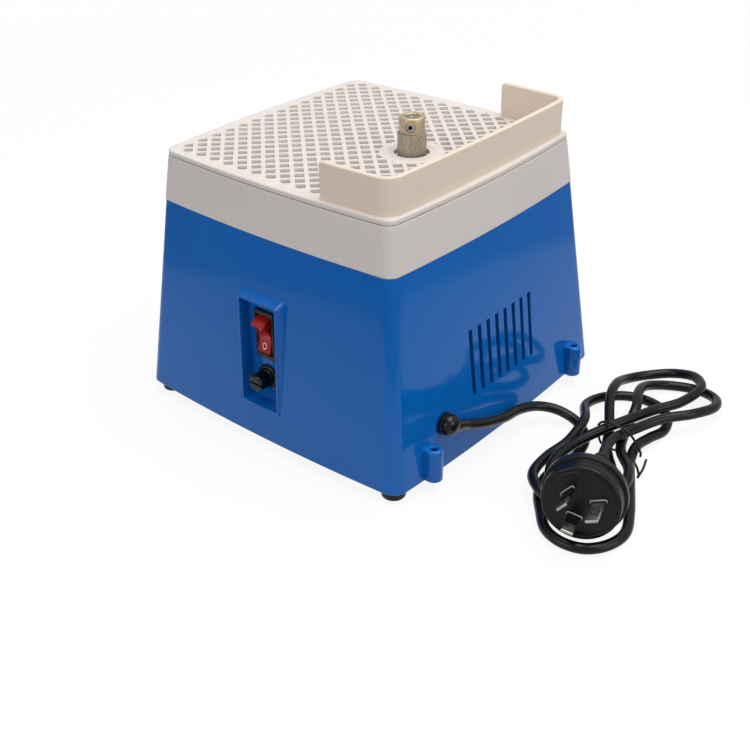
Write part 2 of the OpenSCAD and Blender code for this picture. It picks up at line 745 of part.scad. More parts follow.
// ---- Spindle ----
module spindle_shaft() color("silver") {
    at_spindle(shaft_bottom_z) {
        cylinder(r = shaft_r, h = head_z - 0.5 - shaft_bottom_z - 0.6);
        translate([0, 0, head_z - 0.5 - shaft_bottom_z - 0.6]) cylinder(r1 = shaft_r, r2 = shaft_r - 0.6, h = 0.6);
    }
}
slots = 12;
slot_r = core_r - 5.5;
module armature_core() color("darkgray") {
    at_spindle(core_z) difference() {
        cylinder(r = core_r, h = core_l);
        translate([0, 0, -1]) cylinder(r = shaft_r + fit, h = core_l + 2);
        for (i = [0:slots - 1]) rotate(i * 360 / slots) {
            translate([slot_r, 0, -1]) cylinder(r = 2.6, h = core_l + 2);
            translate([slot_r, -0.8, -1]) cube([10, 1.6, core_l + 2]);
        }
    }
}
module armature_windings() color("chocolate") {
    turn_h = 5.6;
    at_spindle(core_z) {
        for (i = [0:slots - 1]) rotate(i * 360 / slots)
            translate([slot_r, 0, -turn_h / 2]) cylinder(r = 2.4, h = core_l + turn_h, $fn = 16);
        for (z = [-turn_h - 0.1, core_l + 0.1]) translate([0, 0, z]) difference() {
            cylinder(r = slot_r + 3.4, h = turn_h);
            translate([0, 0, -1]) cylinder(r = shaft_r + fit, h = turn_h + 2);
        }
    }
}
module commutator() color("peru") {
    at_spindle(commutator_z) difference() {
        cylinder(r = commutator_r, h = core_z - 5.7 - commutator_z);
        translate([0, 0, -1]) cylinder(r = shaft_r + fit, h = 40);
        for (i = [0:slots - 1]) rotate(i * 360 / slots)
            translate([commutator_r - 1, -0.25, -1]) cube([4, 0.5, commutator_h + 1]);
        translate([0, 0, commutator_h]) difference() {
            cylinder(r = commutator_r + 1, h = 40);
            translate([0, 0, -1]) cylinder(r = shaft_r + 3, h = 42);
        }
    }
}
module cooling_fan() color("dimgray") {
    hub_r = 8;
    blades = 9;
    at_spindle(fan_z) difference() {
        union() {
            cylinder(r = hub_r, h = fan_h);
            translate([0, 0, fan_h - 1.6]) cylinder(d = fan_d - 4, h = 1.6);
            for (i = [0:blades - 1]) rotate(i * 360 / blades)
                translate([hub_r - 1, -0.8, 0]) cube([fan_d / 2 - hub_r, 1.6, fan_h - e]);
        }
        translate([0, 0, -1]) cylinder(r = shaft_r + fit, h = fan_h + 2);
    }
}
module water_slinger() color("black") {
    at_spindle(slinger_z) difference() {
        union() {
            cylinder(r = tube_bore / 2 - 1, h = slinger_hub_h);
            translate([0, 0, slinger_hub_h - slinger_t]) cylinder(r = tube_d / 2 + 2, h = slinger_t);
            translate([0, 0, -1.2]) difference() {
                cylinder(r = tube_d / 2 + 2, h = slinger_hub_h);
                translate([0, 0, -1]) cylinder(r = tube_d / 2 + 0.6, h = slinger_hub_h + 2);
            }
        }
        translate([0, 0, -2]) cylinder(r = shaft_r + fit, h = slinger_hub_h + 4);
    }
}

// ---- Grinding head ----
head_core_r = sleeve_d / 2 - 1.8;
set_screw_z = head_z - 4.9;
set_screw_turn = 30;
head_bevel = 0.6;
module grinding_head() color("darkkhaki") {
    at_spindle(0) difference() {
        union() {
            translate([0, 0, head_bottom_z]) cylinder(r = head_core_r, h = head_z - collar_h - head_bottom_z + e);
            translate([0, 0, head_z - collar_h]) cylinder(d = collar_d, h = collar_h - head_bevel);
            translate([0, 0, head_z - head_bevel])
                cylinder(r1 = collar_d / 2, r2 = collar_d / 2 - head_bevel, h = head_bevel);
        }
        translate([0, 0, head_bottom_z - 1]) cylinder(r = shaft_r + run, h = head_z - head_bottom_z + 2);
        translate([0, 0, set_screw_z]) rotate([0, 90, set_screw_turn]) cylinder(d = set_screw_d, h = collar_d);
    }
}
module diamond_sleeve() color("gray") {
    at_spindle(head_z - collar_h - sleeve_l) difference() {
        cylinder(d = sleeve_d, h = sleeve_l - fit);
        translate([0, 0, -1]) cylinder(r = head_core_r + fit, h = sleeve_l + 2);
    }
}
module set_screw() color("dimgray") {
    screw_l = collar_d / 2 - shaft_r - 1;
    at_spindle(set_screw_z) rotate([0, 90, set_screw_turn]) translate([0, 0, shaft_r + 0.1]) difference() {
        cylinder(d = set_screw_d - 0.1, h = screw_l);
        translate([0, 0, screw_l - 1.8]) cylinder(d = set_screw_d / 2, h = 3, $fn = 6);
    }
}

// ---- Switch ----
frame_t = 2;
rocker_r = rocker_l / 2 + 0.4;
rocker_x = panel_x - 1.5;
rocker_in = 6.5;
module switch_body() color("black") {
    translate([panel_x, 0, switch_z]) difference() {
        union() {
            translate([0, -switch_w / 2, -switch_h / 2]) cube([frame_t, switch_w, switch_h]);
            translate([-switch_depth, -body_w / 2, -body_h / 2]) cube([switch_depth + e, body_w, body_h]);
            for (z = [-8, 8]) translate([-switch_depth - 7, -0.4, z - 3.1]) cube([7 + e, 0.8, 6.2]);
        }
        translate([-11, -rocker_w / 2 - slip, -rocker_r - slip])
            cube([20, rocker_w + 2 * slip, 2 * (rocker_r + slip)]);
    }
}
module rocker() color("red") {
    translate([rocker_x, 0, switch_z]) rotate([0, rocker_throw / 2, 0])
        rotate([90, 0, 0]) translate([0, 0, -rocker_w / 2]) linear_extrude(rocker_w) intersection() {
            polygon([[-rocker_in, -4], [-1, -rocker_r], [7.4, -rocker_r], [5.2, 0],
                [7.4, rocker_r], [-1, rocker_r], [-rocker_in, 4]]);
            circle(r = rocker_r);
        }
}

// ---- Fuse holder ----
barrel_l = 28;
fuse_flange_t = 2;
carrier_r = 3.7;
fuse_r = 2.6;
fuse_front_x = panel_x + fuse_flange_t + 3;
module along_fuse(x) {
    translate([x, 0, fuse_axis_z]) rotate([0, 90, 0]) children();
}
module fuse_holder() color("black") {
    difference() {
        union() {
            along_fuse(panel_x - barrel_l) cylinder(d = barrel_d, h = barrel_l + e);
            along_fuse(panel_x) cylinder(d = fuse_flange_d, h = fuse_flange_t);
            translate([panel_x - barrel_l - 6, -0.4, fuse_axis_z - 2.5]) cube([6 + e, 0.8, 5]);
            translate([panel_x - barrel_l + 9, barrel_d / 2 - 1, fuse_axis_z - 2]) cube([0.8, 6, 4]);
        }
        along_fuse(panel_x - barrel_l + 3) cylinder(r = carrier_r, h = barrel_l + 10);
    }
}
module fuse_nut() color("dimgray") {
    difference() {
        along_fuse(panel_back_x - 3.5) cylinder(d = barrel_d + 5, h = 3.5, $fn = 6);
        along_fuse(panel_back_x - 5) cylinder(d = barrel_d + 2 * fit, h = 8);
    }
}
module fuse_cap() color("black") {
    ribs = 24;
    cap_x = panel_x + fuse_flange_t + 0.1;
    difference() {
        union() {
            along_fuse(cap_x) cylinder(d = cap_d - 0.8, h = cap_l);
            along_fuse(cap_x) for (i = [0:ribs - 1]) rotate(i * 360 / ribs)
                translate([cap_d / 2 - 0.9, -0.35, 1.2]) cube([0.9, 0.7, cap_l - 2.4]);
            along_fuse(cap_x - 4) cylinder(r = carrier_r - 0.2, h = 4 + e);
        }
        along_fuse(cap_x - 5) cylinder(r = fuse_r + fit, h = fuse_front_x - cap_x + 5.1);
        translate([cap_x + cap_l - 1.4, -cap_d, fuse_axis_z - 0.6]) cube([3, 2 * cap_d, 1.2]);
    }
}
module fuse_glass() color("lightcyan") {
    along_fuse(fuse_front_x - fuse_l + 0.5) cylinder(r = fuse_r - 0.45, h = fuse_l - 1);
}
module fuse_end_caps() color("silver") {
    for (x = [fuse_front_x - fuse_l, fuse_front_x - 5.5]) difference() {
        along_fuse(x) cylinder(r = fuse_r, h = 5.5);
        along_fuse(fuse_front_x - fuse_l + 0.45) cylinder(r = fuse_r - 0.4, h = fuse_l - 0.9);
    }
}

// ---- Circuit board and terminal block ----
board_c = [-55, -40];
board_size = [60, 44];
board_z = plate_top_z + 6;
board_t = 1.6;
board_top_z = board_z + board_t;
standoff_r = 3;
block_c = [58, 70];
block_size = [26, 14, 16];
pole_pitch = 8;
function pole_x(i) = block_c.x + (i - 1) * pole_pitch;
pole_z = plate_top_z + 8;
module board_places(z) {
    for (sx = [-1, 1], sy = [-1, 1])
        translate([board_c.x + sx * (board_size.x / 2 - 4), board_c.y + sy * (board_size.y / 2 - 4), z])
            children();
}
module circuit_board() color("darkgreen") {
    difference() {
        union() {
            translate([board_c.x - board_size.x / 2, board_c.y - board_size.y / 2, board_z])
                cube([board_size.x, board_size.y, board_t]);
            board_places(plate_top_z) cylinder(r = standoff_r, h = board_z - plate_top_z + e);
        }
        board_places(plate_top_z - 1) cylinder(r = m3_r, h = 20);
    }
}
module board_screws() color("silver") {
    board_places(board_top_z) pan_screw(m3_r - 0.2 - fit, board_top_z - shell_z - 0.5, m3_head_r, m3_head_h);
}
module bridge_rectifier() color("black") {
    translate([board_c.x - 18, board_c.y - 12, board_top_z]) difference() {
        cube([15, 4.5, 12]);
        translate([7.5, -1, 8.5]) rotate([-90, 0, 0]) cylinder(r = 1.6, h = 7);
    }
}
module board_capacitors() color("teal") {
    translate([board_c.x + 14, board_c.y - 6, board_top_z]) {
        cylinder(d = 16, h = 24);
        translate([0, 0, 24]) cylinder(r1 = 8, r2 = 7, h = 1);
    }
    translate([board_c.x - 18, board_c.y + 4, board_top_z]) cube([18, 8, 13]);
}
module terminal_block() color("ivory") {
    difference() {
        translate([block_c.x - block_size.x / 2, block_c.y - block_size.y / 2, plate_top_z]) cube(block_size);
        for (i = [0:2]) {
            translate([pole_x(i), block_c.y - block_size.y, pole_z]) rotate([-90, 0, 0])
                cylinder(r = 2, h = 2 * block_size.y);
            translate([pole_x(i), block_c.y, pole_z]) cylinder(r = 2.2, h = block_size.z);
        }
        for (i = [0, 1]) translate([pole_x(i) + pole_pitch / 2 - 0.8, block_c.y - block_size.y,
            plate_top_z + 4]) cube([1.6, 2 * block_size.y, block_size.z]);
    }
}

// ---- Cord, its strain relief, plug and tie ----
cord_r = cord_d / 2;
boss_l = 9.4;
relief_gap = 0.4;
relief_flange_t = 2.5;
sheath_l = 4;
cord_pitch = 16.4;
// Points given behind the rear foot line of the housing
function behind(points) = [for (p = points) p + [0, base_half, 0]];
// Points that the cord's centre follows from the strain relief to the plug
route = behind([
    [43, 4, 28], [29, 7, 23], [12, 8, 18], [-6, 7, 14], [-20, 11, 11], [-28, 21, 8],
    [-28, 34, 5], [-19, 45, 3.5], [-3, 50, 3.5], [14, 49, 3.5], [29, 48, 3.5], [43, 53, 3.5],
    [55, 62, 3.5], [66, 72, 3.5], [70, 84, 3.5], [67, 96, 3.5], [57, 104, 3.5], [43, 106, 3.5],
    [26, 99, 3.5], [6, 88, 3.5], [-12, 78, 4.5], [-26, 74, 6], [-40, 75, 5], [-54, 77, 3.5],
    [-68, 72, 3.5], [-76, 60, 3.5], [-75, 44, 3.5], [-64, 31, 3.5], [-46, 29, 6], [-25, 40, 11],
    [-3, 43, 9], [17, 41, 8], [37, 45, 10], [48, 56, 11], [50, 70, 7], [44, 82, 3.5],
    [29, 89, 3.5], [13, 83, 3.5], [-1, 73, 3.5], [-16, 61, 4], [-32, 53, 7], [-53, 41, 11], [-70, 35, 11],
    [-87, 33, 6], [-103, 40, 4], [-112, 53, 6], [-110, 68, 10], [-97, 78, 12], [-76, 76, 12],
    [-59, 68, 12], [-40, 62, 13], [-20, 55, 13], [2, 49, 12], [22, 49, 12], [35, 55, 10],
    [41, 67, 9], [37, 81, 8], [23, 90, 11], [5, 86, 12], [-15, 70, 8], [-38, 61, 5.5],
    [-56, 57, 11], [-72, 50, 11], [-87, 48, 7], [-101, 56, 3.5], [-107, 71, 3.5], [-101, 86, 6],
    [-87, 92, 9], [-68, 87, 12], [-53, 76, 12], [-32, 68, 12], [-15, 65, 14], [-3, 67, 15],
    [11, 72, 17]]);
// Points that the twist tie follows round the bundle and out along its tail
tie_route = behind([
    [-21, 79.6, 4.4], [-21, 79.4, 7], [-21.5, 76, 11.5], [-22, 70, 16.5], [-22, 65, 17.6],
    [-22, 56, 17.5], [-22, 51.4, 14], [-22, 52, 6], [-22, 55.5, 1.2], [-22, 66, 1],
    [-21, 74, 1], [-15, 81, 1.2], [-8, 86, 1.8], [-5, 87, 2.8], [-9, 87.5, 6], [-14, 86.5, 9.5]]);
tie_r = 0.7;
plug_face = [61, base_half + 88, 24.5];
plug_turn = [0, 82, 18];
plug_roll = 17;
plug_r = 20.8;
plug_rim_r = 22.6;
plug_rim_z = -9;
plug_rim_t = 5;
plug_tail_z = -52.6;
pin_w = 6.35;
pin_t = 1.6;
pin_seat = 6;
earth_pin_l = 20;
flat_pin_l = 17;
pin_cover_l = 9;

module strain_relief() color("black") {
    at_bushing() rotate([-90, 0, 0]) {
        translate([0, 0, -wall - relief_gap - relief_flange_t]) cylinder(r = neck_r + 2.4, h = relief_flange_t);
        translate([0, 0, -wall - relief_gap - e]) cylinder(r = neck_r, h = wall + relief_gap + 1);
        translate([0, 0, relief_gap]) cylinder(d = bushing_d, h = boss_l - relief_gap - 2.5);
        translate([0, 0, boss_l - 2.5 - e]) cylinder(r1 = bushing_d / 2, r2 = bushing_d / 2 - 0.9, h = 1.5);
        translate([0, 0, boss_l - 1 - 2 * e]) cylinder(r1 = bushing_d / 2 - 0.9, r2 = bushing_d / 2 - 2.6, h = 1);
    }
    rod(bushing + [0, boss_l / 2, -0.7], route[0] + [0.1, 0, 0.04], cord_r + 1.1, cord_r + 0.6);
}
module power_cord() color("black") {
    tube(even(smooth(route, 4), cord_pitch), cord_r, 10);
    at_bushing() rotate([-90, 0, 0])
        translate([0, 0, -wall - relief_gap - relief_flange_t - sheath_l]) cylinder(r = cord_r, h = sheath_l - fit);
}
module at_plug() {
    translate(plug_face) rotate(plug_turn) rotate(plug_roll) children();
}
// Places of the two slanted pins (0, 1) and of the earth pin (2)
module at_pin(i) {
    places = [[7, -4.6, -30], [-7, -4.6, 30], [0, 9.8, 0]];
    translate([places[i].x, places[i].y, 0]) rotate(places[i].z) children();
}
module block(w, t, z_0, z_1) {
    translate([-t / 2, -w / 2, z_0]) cube([t, w, z_1 - z_0]);
}
module plug_body() color("black") {
    at_plug() difference() {
        union() {
            rotate_extrude() polygon([
                [0, 0], [plug_r - 1, 0], [plug_r - 0.3, -0.3], [plug_r, -1], [plug_r + 0.2, plug_rim_z],
                [plug_rim_r - 0.5, plug_rim_z], [plug_rim_r, plug_rim_z - 0.5],
                [plug_rim_r, plug_rim_z - plug_rim_t + 0.8], [plug_rim_r - 1, plug_rim_z - plug_rim_t],
                [17, plug_rim_z - plug_rim_t - 1], [12.5, plug_rim_z - plug_rim_t - 3.5], [9.5, -24], [7.6, -30],
                [6.2, -35], [5.6, -38], [cord_r + 1, plug_tail_z], [0, plug_tail_z]]);
            for (i = [0:2]) at_pin(i) block(pin_w + 2.4, pin_t + 2.4, -e, 0.8);
        }
        for (i = [0:2]) at_pin(i) block(pin_w + 2 * fit, pin_t + 2 * fit, -pin_seat - fit, 2);
    }
}
module plug_pins() color("silver") {
    at_plug() {
        at_pin(2) block(pin_w, pin_t, -pin_seat, earth_pin_l);
        for (i = [0, 1]) at_pin(i) {
            block(pin_w - 0.9, pin_t - 0.7, -pin_seat, flat_pin_l - 1);
            block(pin_w, pin_t, pin_cover_l + fit, flat_pin_l);
        }
    }
}
module pin_sleeves() color("black") {
    at_plug() for (i = [0, 1]) at_pin(i) difference() {
        block(pin_w, pin_t, -pin_seat, pin_cover_l);
        block(pin_w - 0.9 + fit, pin_t - 0.7 + fit, -pin_seat - 1, pin_cover_l + 1);
    }
}
module twist_tie() color("black") {
    tube(smooth(tie_route, 4), tie_r, 6);
}

// ---- Wires inside the housing ----
core_r_wire = 1.1;
inner_end = bushing + [0, -wall - relief_gap - relief_flange_t - sheath_l - 0.4, -1];
block_rear_y = block_c.y + block_size.y / 2;
block_front_y = block_c.y - block_size.y / 2;
fuse_tab = [panel_x - barrel_l - 6.5 - core_r_wire, 0, fuse_axis_z];
fuse_side = [panel_x - barrel_l + 9.4, barrel_d / 2 + 5.5 + core_r_wire, fuse_axis_z];
switch_tab_x = panel_x - switch_depth - 7.5 - core_r_wire;
board_edge_y = board_c.y + board_size.y / 2;
module core_to_block(i) {
    wire([inner_end + [(i - 1) * 2.6, 0, 0], inner_end + [(i - 1) * 4, -4, -3],
        [pole_x(i), block_rear_y + 6, pole_z + 4], [pole_x(i), block_rear_y - 2, pole_z]], core_r_wire);
}
module live_wires() color("saddlebrown") {
    core_to_block(2);
    wire([[pole_x(2), block_front_y + 2, pole_z], [pole_x(2) + 1, block_front_y - 8, pole_z + 2], [68, 30, 26],
        [60, 6, 36], fuse_tab + [-3, 0, -2], fuse_tab], core_r_wire);
    wire([fuse_side, fuse_side + [-4, 3, 6], [switch_tab_x - 4, 6, switch_z - 14],
        [switch_tab_x, 0, switch_z - 8]], core_r_wire);
    wire([[switch_tab_x, 0, switch_z + 8], [switch_tab_x - 8, -6, switch_z + 6], [40, -28, 56], [10, -50, 28],
        [board_c.x + board_size.x / 2 - 3, board_c.y + 6, board_top_z + core_r_wire + 0.2]], core_r_wire);
}
module neutral_wires() color("steelblue") {
    core_to_block(0);
    wire([[pole_x(0), block_front_y + 2, pole_z], [pole_x(0) - 1, block_front_y - 8, pole_z - 3], [46, 20, 12],
        [24, -24, 12], [-12, -52, 15],
        [board_c.x + board_size.x / 2 - 3, board_c.y - 14, board_top_z + core_r_wire + 0.2]], core_r_wire);
}
module earth_wire() color("yellowgreen") {
    core_to_block(1);
    wire([[pole_x(1), block_front_y + 2, pole_z], [pole_x(1), block_front_y - 8, pole_z + 4], [56, 40, 30],
        [52, 16, 70], [46, -4, 104],
        [bracket_pitch / 2 + 6, spindle_y - bracket_pitch / 2, motor_top_z - core_r_wire - 0.2]], core_r_wire);
}
module motor_leads() color("firebrick") {
    lead_x = holder_r + brush_cap_h + core_r_wire + 0.2;
    wire([[board_c.x + 8, board_edge_y - 3, board_top_z + core_r_wire + 0.2], [board_c.x + 10, board_edge_y + 8, 26],
        [-46, 16, 42], [-lead_x, spindle_y, brush_z]], core_r_wire);
    wire([[board_c.x + 18, board_edge_y - 3, board_top_z + core_r_wire + 0.2], [-16, board_edge_y + 6, 18],
        [24, -14, 18], [44, 8, 38], [lead_x, spindle_y, brush_z]], core_r_wire);
}

housing_front();
housing_rear();
housing_left();
housing_right_panels();
housing_right_bridges();
housing_deck();
switch_recess();
housing_posts();
bottom_plate();
rubber_feet();
foot_screws();
water_tray();
tray_seal();
tray_screws();
tray_washers();
worktop();
splash_guard();
motor_bracket();
motor_screws();
motor_can();
magnets();
upper_end_cap();
lower_end_cap();
end_cap_bolts();
spindle_bearings();
brush_holders();
carbon_brushes();
brush_springs();
brush_caps();
spindle_shaft();
armature_core();
armature_windings();
commutator();
cooling_fan();
water_slinger();
grinding_head();
diamond_sleeve();
set_screw();
switch_body();
rocker();
fuse_holder();
fuse_nut();
fuse_cap();
fuse_glass();
fuse_end_caps();
circuit_board();
bridge_rectifier();
board_capacitors();
board_screws();
terminal_block();
live_wires();
neutral_wires();
earth_wire();
motor_leads();
strain_relief();
power_cord();
plug_body();
plug_pins();
pin_sleeves();
twist_tie();
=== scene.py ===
import bpy
import bmesh
from math import sin, cos, pi, radians, atan, sqrt
from mathutils import Vector, Matrix
from mathutils.geometry import delaunay_2d_cdt


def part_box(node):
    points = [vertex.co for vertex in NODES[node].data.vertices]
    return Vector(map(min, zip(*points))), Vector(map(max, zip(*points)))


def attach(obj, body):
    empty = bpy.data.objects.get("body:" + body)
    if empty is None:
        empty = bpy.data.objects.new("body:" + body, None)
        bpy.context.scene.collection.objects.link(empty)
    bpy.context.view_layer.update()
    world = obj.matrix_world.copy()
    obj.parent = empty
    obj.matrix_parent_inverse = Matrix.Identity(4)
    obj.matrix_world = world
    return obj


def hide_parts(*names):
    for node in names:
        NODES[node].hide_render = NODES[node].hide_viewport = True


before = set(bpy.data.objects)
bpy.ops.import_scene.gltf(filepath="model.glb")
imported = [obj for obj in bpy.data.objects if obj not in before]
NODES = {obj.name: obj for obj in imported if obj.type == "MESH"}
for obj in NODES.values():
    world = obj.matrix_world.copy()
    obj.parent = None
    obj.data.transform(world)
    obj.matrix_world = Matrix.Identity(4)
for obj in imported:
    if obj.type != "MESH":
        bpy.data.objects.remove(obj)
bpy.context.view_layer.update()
SCENE = bpy.context.scene
MM = 0.001

# ---------------- sizes, in millimetres
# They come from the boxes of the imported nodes, or are part.scad's own values where no box gives them.


def span(node):
    lo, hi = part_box(node)
    return [c / MM for c in lo], [c / MM for c in hi]


front_lo, front_hi = span("housing_front")
hood_lo, hood_hi = span("switch_recess")
guard_lo, guard_hi = span("splash_guard")
head_lo, head_hi = span("grinding_head")
sleeve_lo, sleeve_hi = span("diamond_sleeve")
shaft_lo, shaft_hi = span("spindle_shaft")
tray_hi = span("water_tray")[1]

SHELL_Z, DECK_Z = front_lo[2], front_hi[2]
SHOULDER_Z = span("housing_deck")[1][2]
RIM_Z = tray_hi[2]
PEG_L = 1.8                              # how deep the guard's pegs stand in the worktop
TOP_Z = guard_lo[2] + PEG_L
HEAD_Z = head_hi[2]
BOW = 3.0                                # how far each side bulges in its middle
BASE_HALF, SHOULDER_HALF = 100.0, 85.7
FOOT_R, SHOULDER_R = 9.2, 7.0
TRAY_FOOT, TRAY_RIM = tray_hi[0] - BOW, 82.8
HOUSING_H = SHOULDER_Z - SHELL_Z
WALL = 3.0
LEAN = atan((BASE_HALF - SHOULDER_HALF) / HOUSING_H)
SPINDLE = ((head_lo[0] + head_hi[0]) / 2, (head_lo[1] + head_hi[1]) / 2)
PANEL_X = span("switch_body")[1][0] - 2.0
SWITCH_Z, FUSE_Z = 70.2, 43.0


def half_at(h):
    return BASE_HALF - (BASE_HALF - SHOULDER_HALF) * h / HOUSING_H


def corner_at(h):
    return FOOT_R + (SHOULDER_R - FOOT_R) * h / HOUSING_H


def wall_at(along, h):
    return half_at(h) + BOW * (1 - (along / half_at(h)) ** 2)


# ---------------- placement and curves


def shift(x, y, z=0):
    return Matrix.Translation((x, y, z))


def turn(degrees, axis):
    return Matrix.Rotation(radians(degrees), 4, axis)


AT_SPINDLE = shift(*SPINDLE)
ALONG_X = shift(0, 0, FUSE_Z) @ turn(90, "Y")        # local Z runs out through the fuse holder


def quarter(steps, first=0):
    """(sin, 1 - cos) over a quarter turn in equal steps, from step `first` on."""
    angles = [pi / 2 * k / steps for k in range(first, steps + 1)]
    return [(sin(q), 1 - cos(q)) for q in angles]


def corner_points(corners, steps):
    """Points round some corners, each (centre, centre, radius, first angle)."""
    return [(cx + r * cos(radians(a0 + 90 * k / steps)), cy + r * sin(radians(a0 + 90 * k / steps)))
            for cx, cy, r, a0 in corners for k in range(steps + 1)]


def rounded_rect(w, h, r, steps=5):
    """Points of a rectangle about the origin with round corners."""
    return corner_points(((w / 2 - r, -h / 2 + r, r, -90), (w / 2 - r, h / 2 - r, r, 0),
                          (-w / 2 + r, h / 2 - r, r, 90), (-w / 2 + r, -h / 2 + r, r, 180)), steps)


def outline(half, r, bow, corner=14, side=40):
    """The closed outline of part.scad with more points."""
    r = max(r, 0.05)
    a = atan(2 * bow / (half - r))
    part = []
    for i in range(corner + 1):
        t = -pi / 2 + a + (pi / 2 - 2 * a) * i / corner
        part.append((half - r + r * cos(t), -(half - r) + r * sin(t)))
    for i in range(1, side):
        s = -1 + 2 * i / side
        part.append((half + bow * (1 - s * s), s * (half - r)))
    full = []
    for k in range(4):
        c, s = round(cos(k * pi / 2)), round(sin(k * pi / 2))
        full += [(x * c - y * s, x * s + y * c) for x, y in part]
    return full


def level(points, z):
    return [(x, y, z) for x, y in points]


def spline(points, steps):
    """Uniform Catmull-Rom line through the points, as part.scad draws it."""
    p = [Vector(q) for q in points]
    n = len(p) - 1
    out = []
    for i in range(n):
        a = p[i - 1] if i > 0 else 2 * p[0] - p[1]
        b, c = p[i], p[i + 1]
        d = p[i + 2] if i < n - 1 else 2 * p[n] - p[n - 1]
        for k in range(steps):
            t = k / steps
            out.append(0.5 * (2 * b + (c - a) * t + (2 * a - 5 * b + 4 * c - d) * t * t
                              + (3 * b - a - 3 * c + d) * t ** 3))
    out.append(p[n])
    return out


# ---------------- meshes


def put(name, data):
    ob = bpy.data.objects.new(name, data)
    SCENE.collection.objects.link(ob)
    return ob


def drop(ob):
    mesh = ob.data
    bpy.data.objects.remove(ob)
    bpy.data.meshes.remove(mesh)


def smooth_shade(mesh, angle):
    mesh.shade_smooth()
    mesh.set_sharp_from_angle(angle=radians(angle))


def add(name, verts, faces, angle=35):
    """A closed mesh from points in millimetres."""
    mesh = bpy.data.meshes.new(name)
    mesh.from_pydata([Vector(p) * MM for p in verts], [], faces)
    bm = bmesh.new()
    bm.from_mesh(mesh)
    bmesh.ops.remove_doubles(bm, verts=bm.verts, dist=1e-7)
    bmesh.ops.recalc_face_normals(bm, faces=bm.faces)
    bm.to_mesh(mesh)
    bm.free()
    smooth_shade(mesh, angle)
    return put(name, mesh)


def join(name, parts, angle=35):
    bm = bmesh.new()
    for ob in parts:
        bm.from_mesh(ob.data)
        drop(ob)
    mesh = bpy.data.meshes.new(name)
    bm.to_mesh(mesh)
    bm.free()
    smooth_shade(mesh, angle)
    return put(name, mesh)


def boolean(ob, tools, how="DIFFERENCE", angle=35):
    """Cuts the tools from the object, or adds them to it, one after the other."""
    for tool in tools:
        m = ob.modifiers.new("cut", "BOOLEAN")
        m.object = tool
        m.operation = how
        m.solver = "EXACT"
        bpy.context.view_layer.update()
        old = ob.data
        mesh = bpy.data.meshes.new_from_object(ob.evaluated_get(bpy.context.evaluated_depsgraph_get()))
        ob.modifiers.clear()
        ob.data = mesh
        bpy.data.meshes.remove(old)
        smooth_shade(mesh, angle)
        drop(tool)
    return ob


def loft(name, rings, caps=(True, True), closed=False, angle=35):
    """Skin over rings with the same number of points."""
    n = len(rings[0])
    verts = [p for ring in rings for p in ring]
    faces = []
    for k in range(len(rings) if closed else len(rings) - 1):
        a, b = k * n, ((k + 1) % len(rings)) * n
        for i in range(n):
            j = (i + 1) % n
            faces.append((a + i, a + j, b + j, b + i))
    if not closed and caps[0]:
        faces.append(tuple(range(n - 1, -1, -1)))
    if not closed and caps[1]:
        faces.append(tuple((len(rings) - 1) * n + i for i in range(n)))
    return add(name, verts, faces, angle)


def lathe(name, profile, sides=64, place=Matrix.Identity(4), radius=None, angle=35):
    """A body of revolution about local Z from (r, z) points. radius(turn, r, z) may change r."""
    rings = []
    for r, z in profile:
        ring = []
        for i in range(sides):
            t = 2 * pi * i / sides
            q = radius(t, r, z) if radius else r
            ring.append(place @ Vector((q * cos(t), q * sin(t), z)))
        rings.append(ring)
    if profile[0] == profile[-1]:
        return loft(name, rings[:-1], closed=True, angle=angle)
    return loft(name, rings, caps=(profile[0][0] > 1e-6, profile[-1][0] > 1e-6), angle=angle)


def cylinder(name, r, z0, z1, place=Matrix.Identity(4), sides=48):
    return lathe(name, [(r, z0), (r, z1)], sides, place)


def box(name, lo, hi):
    (x0, y0, z0), (x1, y1, z1) = lo, hi
    return loft(name, [[(x0, y0, z), (x1, y0, z), (x1, y1, z), (x0, y1, z)] for z in (z0, z1)])


def tube(name, line, radius, sides=20):
    """Round tube along a line, its rings carried along without twist. radius is a number or f(share of the way)."""
    n = len(line)
    tangents = [(line[min(n - 1, i + 1)] - line[max(0, i - 1)]).normalized() for i in range(n)]
    u = tangents[0].orthogonal().normalized()
    rings = []
    for i, (p, t) in enumerate(zip(line, tangents)):
        u = (u - t * u.dot(t)).normalized()
        w = t.cross(u)
        r = radius(i / (n - 1)) if callable(radius) else radius
        rings.append([p + r * (cos(2 * pi * k / sides) * u + sin(2 * pi * k / sides) * w) for k in range(sides)])
    return loft(name, rings, angle=50)


# ---------------- camera

CAM_AZ, CAM_EL, CAM_ROLL = radians(40.356), radians(31.54), radians(-0.82)
CAM_AT = Vector((475.6, 404.14, 382.67)) * MM
back = Vector((cos(CAM_EL) * cos(CAM_AZ), cos(CAM_EL) * sin(CAM_AZ), sin(CAM_EL)))
right = Vector((-sin(CAM_AZ), cos(CAM_AZ), 0))
up = back.cross(right)
rolled = (cos(CAM_ROLL) * right + sin(CAM_ROLL) * up, -sin(CAM_ROLL) * right + cos(CAM_ROLL) * up, back)
camera = put("camera", bpy.data.cameras.new("camera"))
camera.matrix_world = Matrix.Translation(CAM_AT) @ Matrix(rolled).transposed().to_4x4()
camera.data.sensor_width = 36
camera.data.lens = 54.64
camera.data.shift_x, camera.data.shift_y = 0.0023, -0.0001
camera.data.clip_start, camera.data.clip_end = 0.01, 50
SCENE.camera = camera

# ---------------- materials


def feed(tree, node, inputs):
    """Links a node's inputs to sockets, or sets them to plain values."""
    for key, value in inputs.items():
        if isinstance(value, bpy.types.NodeSocket):
            tree.links.new(value, node.inputs[key])
        elif node.inputs[key].type == "RGBA":
            node.inputs[key].default_value = (*value, 1)
        else:
            node.inputs[key].default_value = value


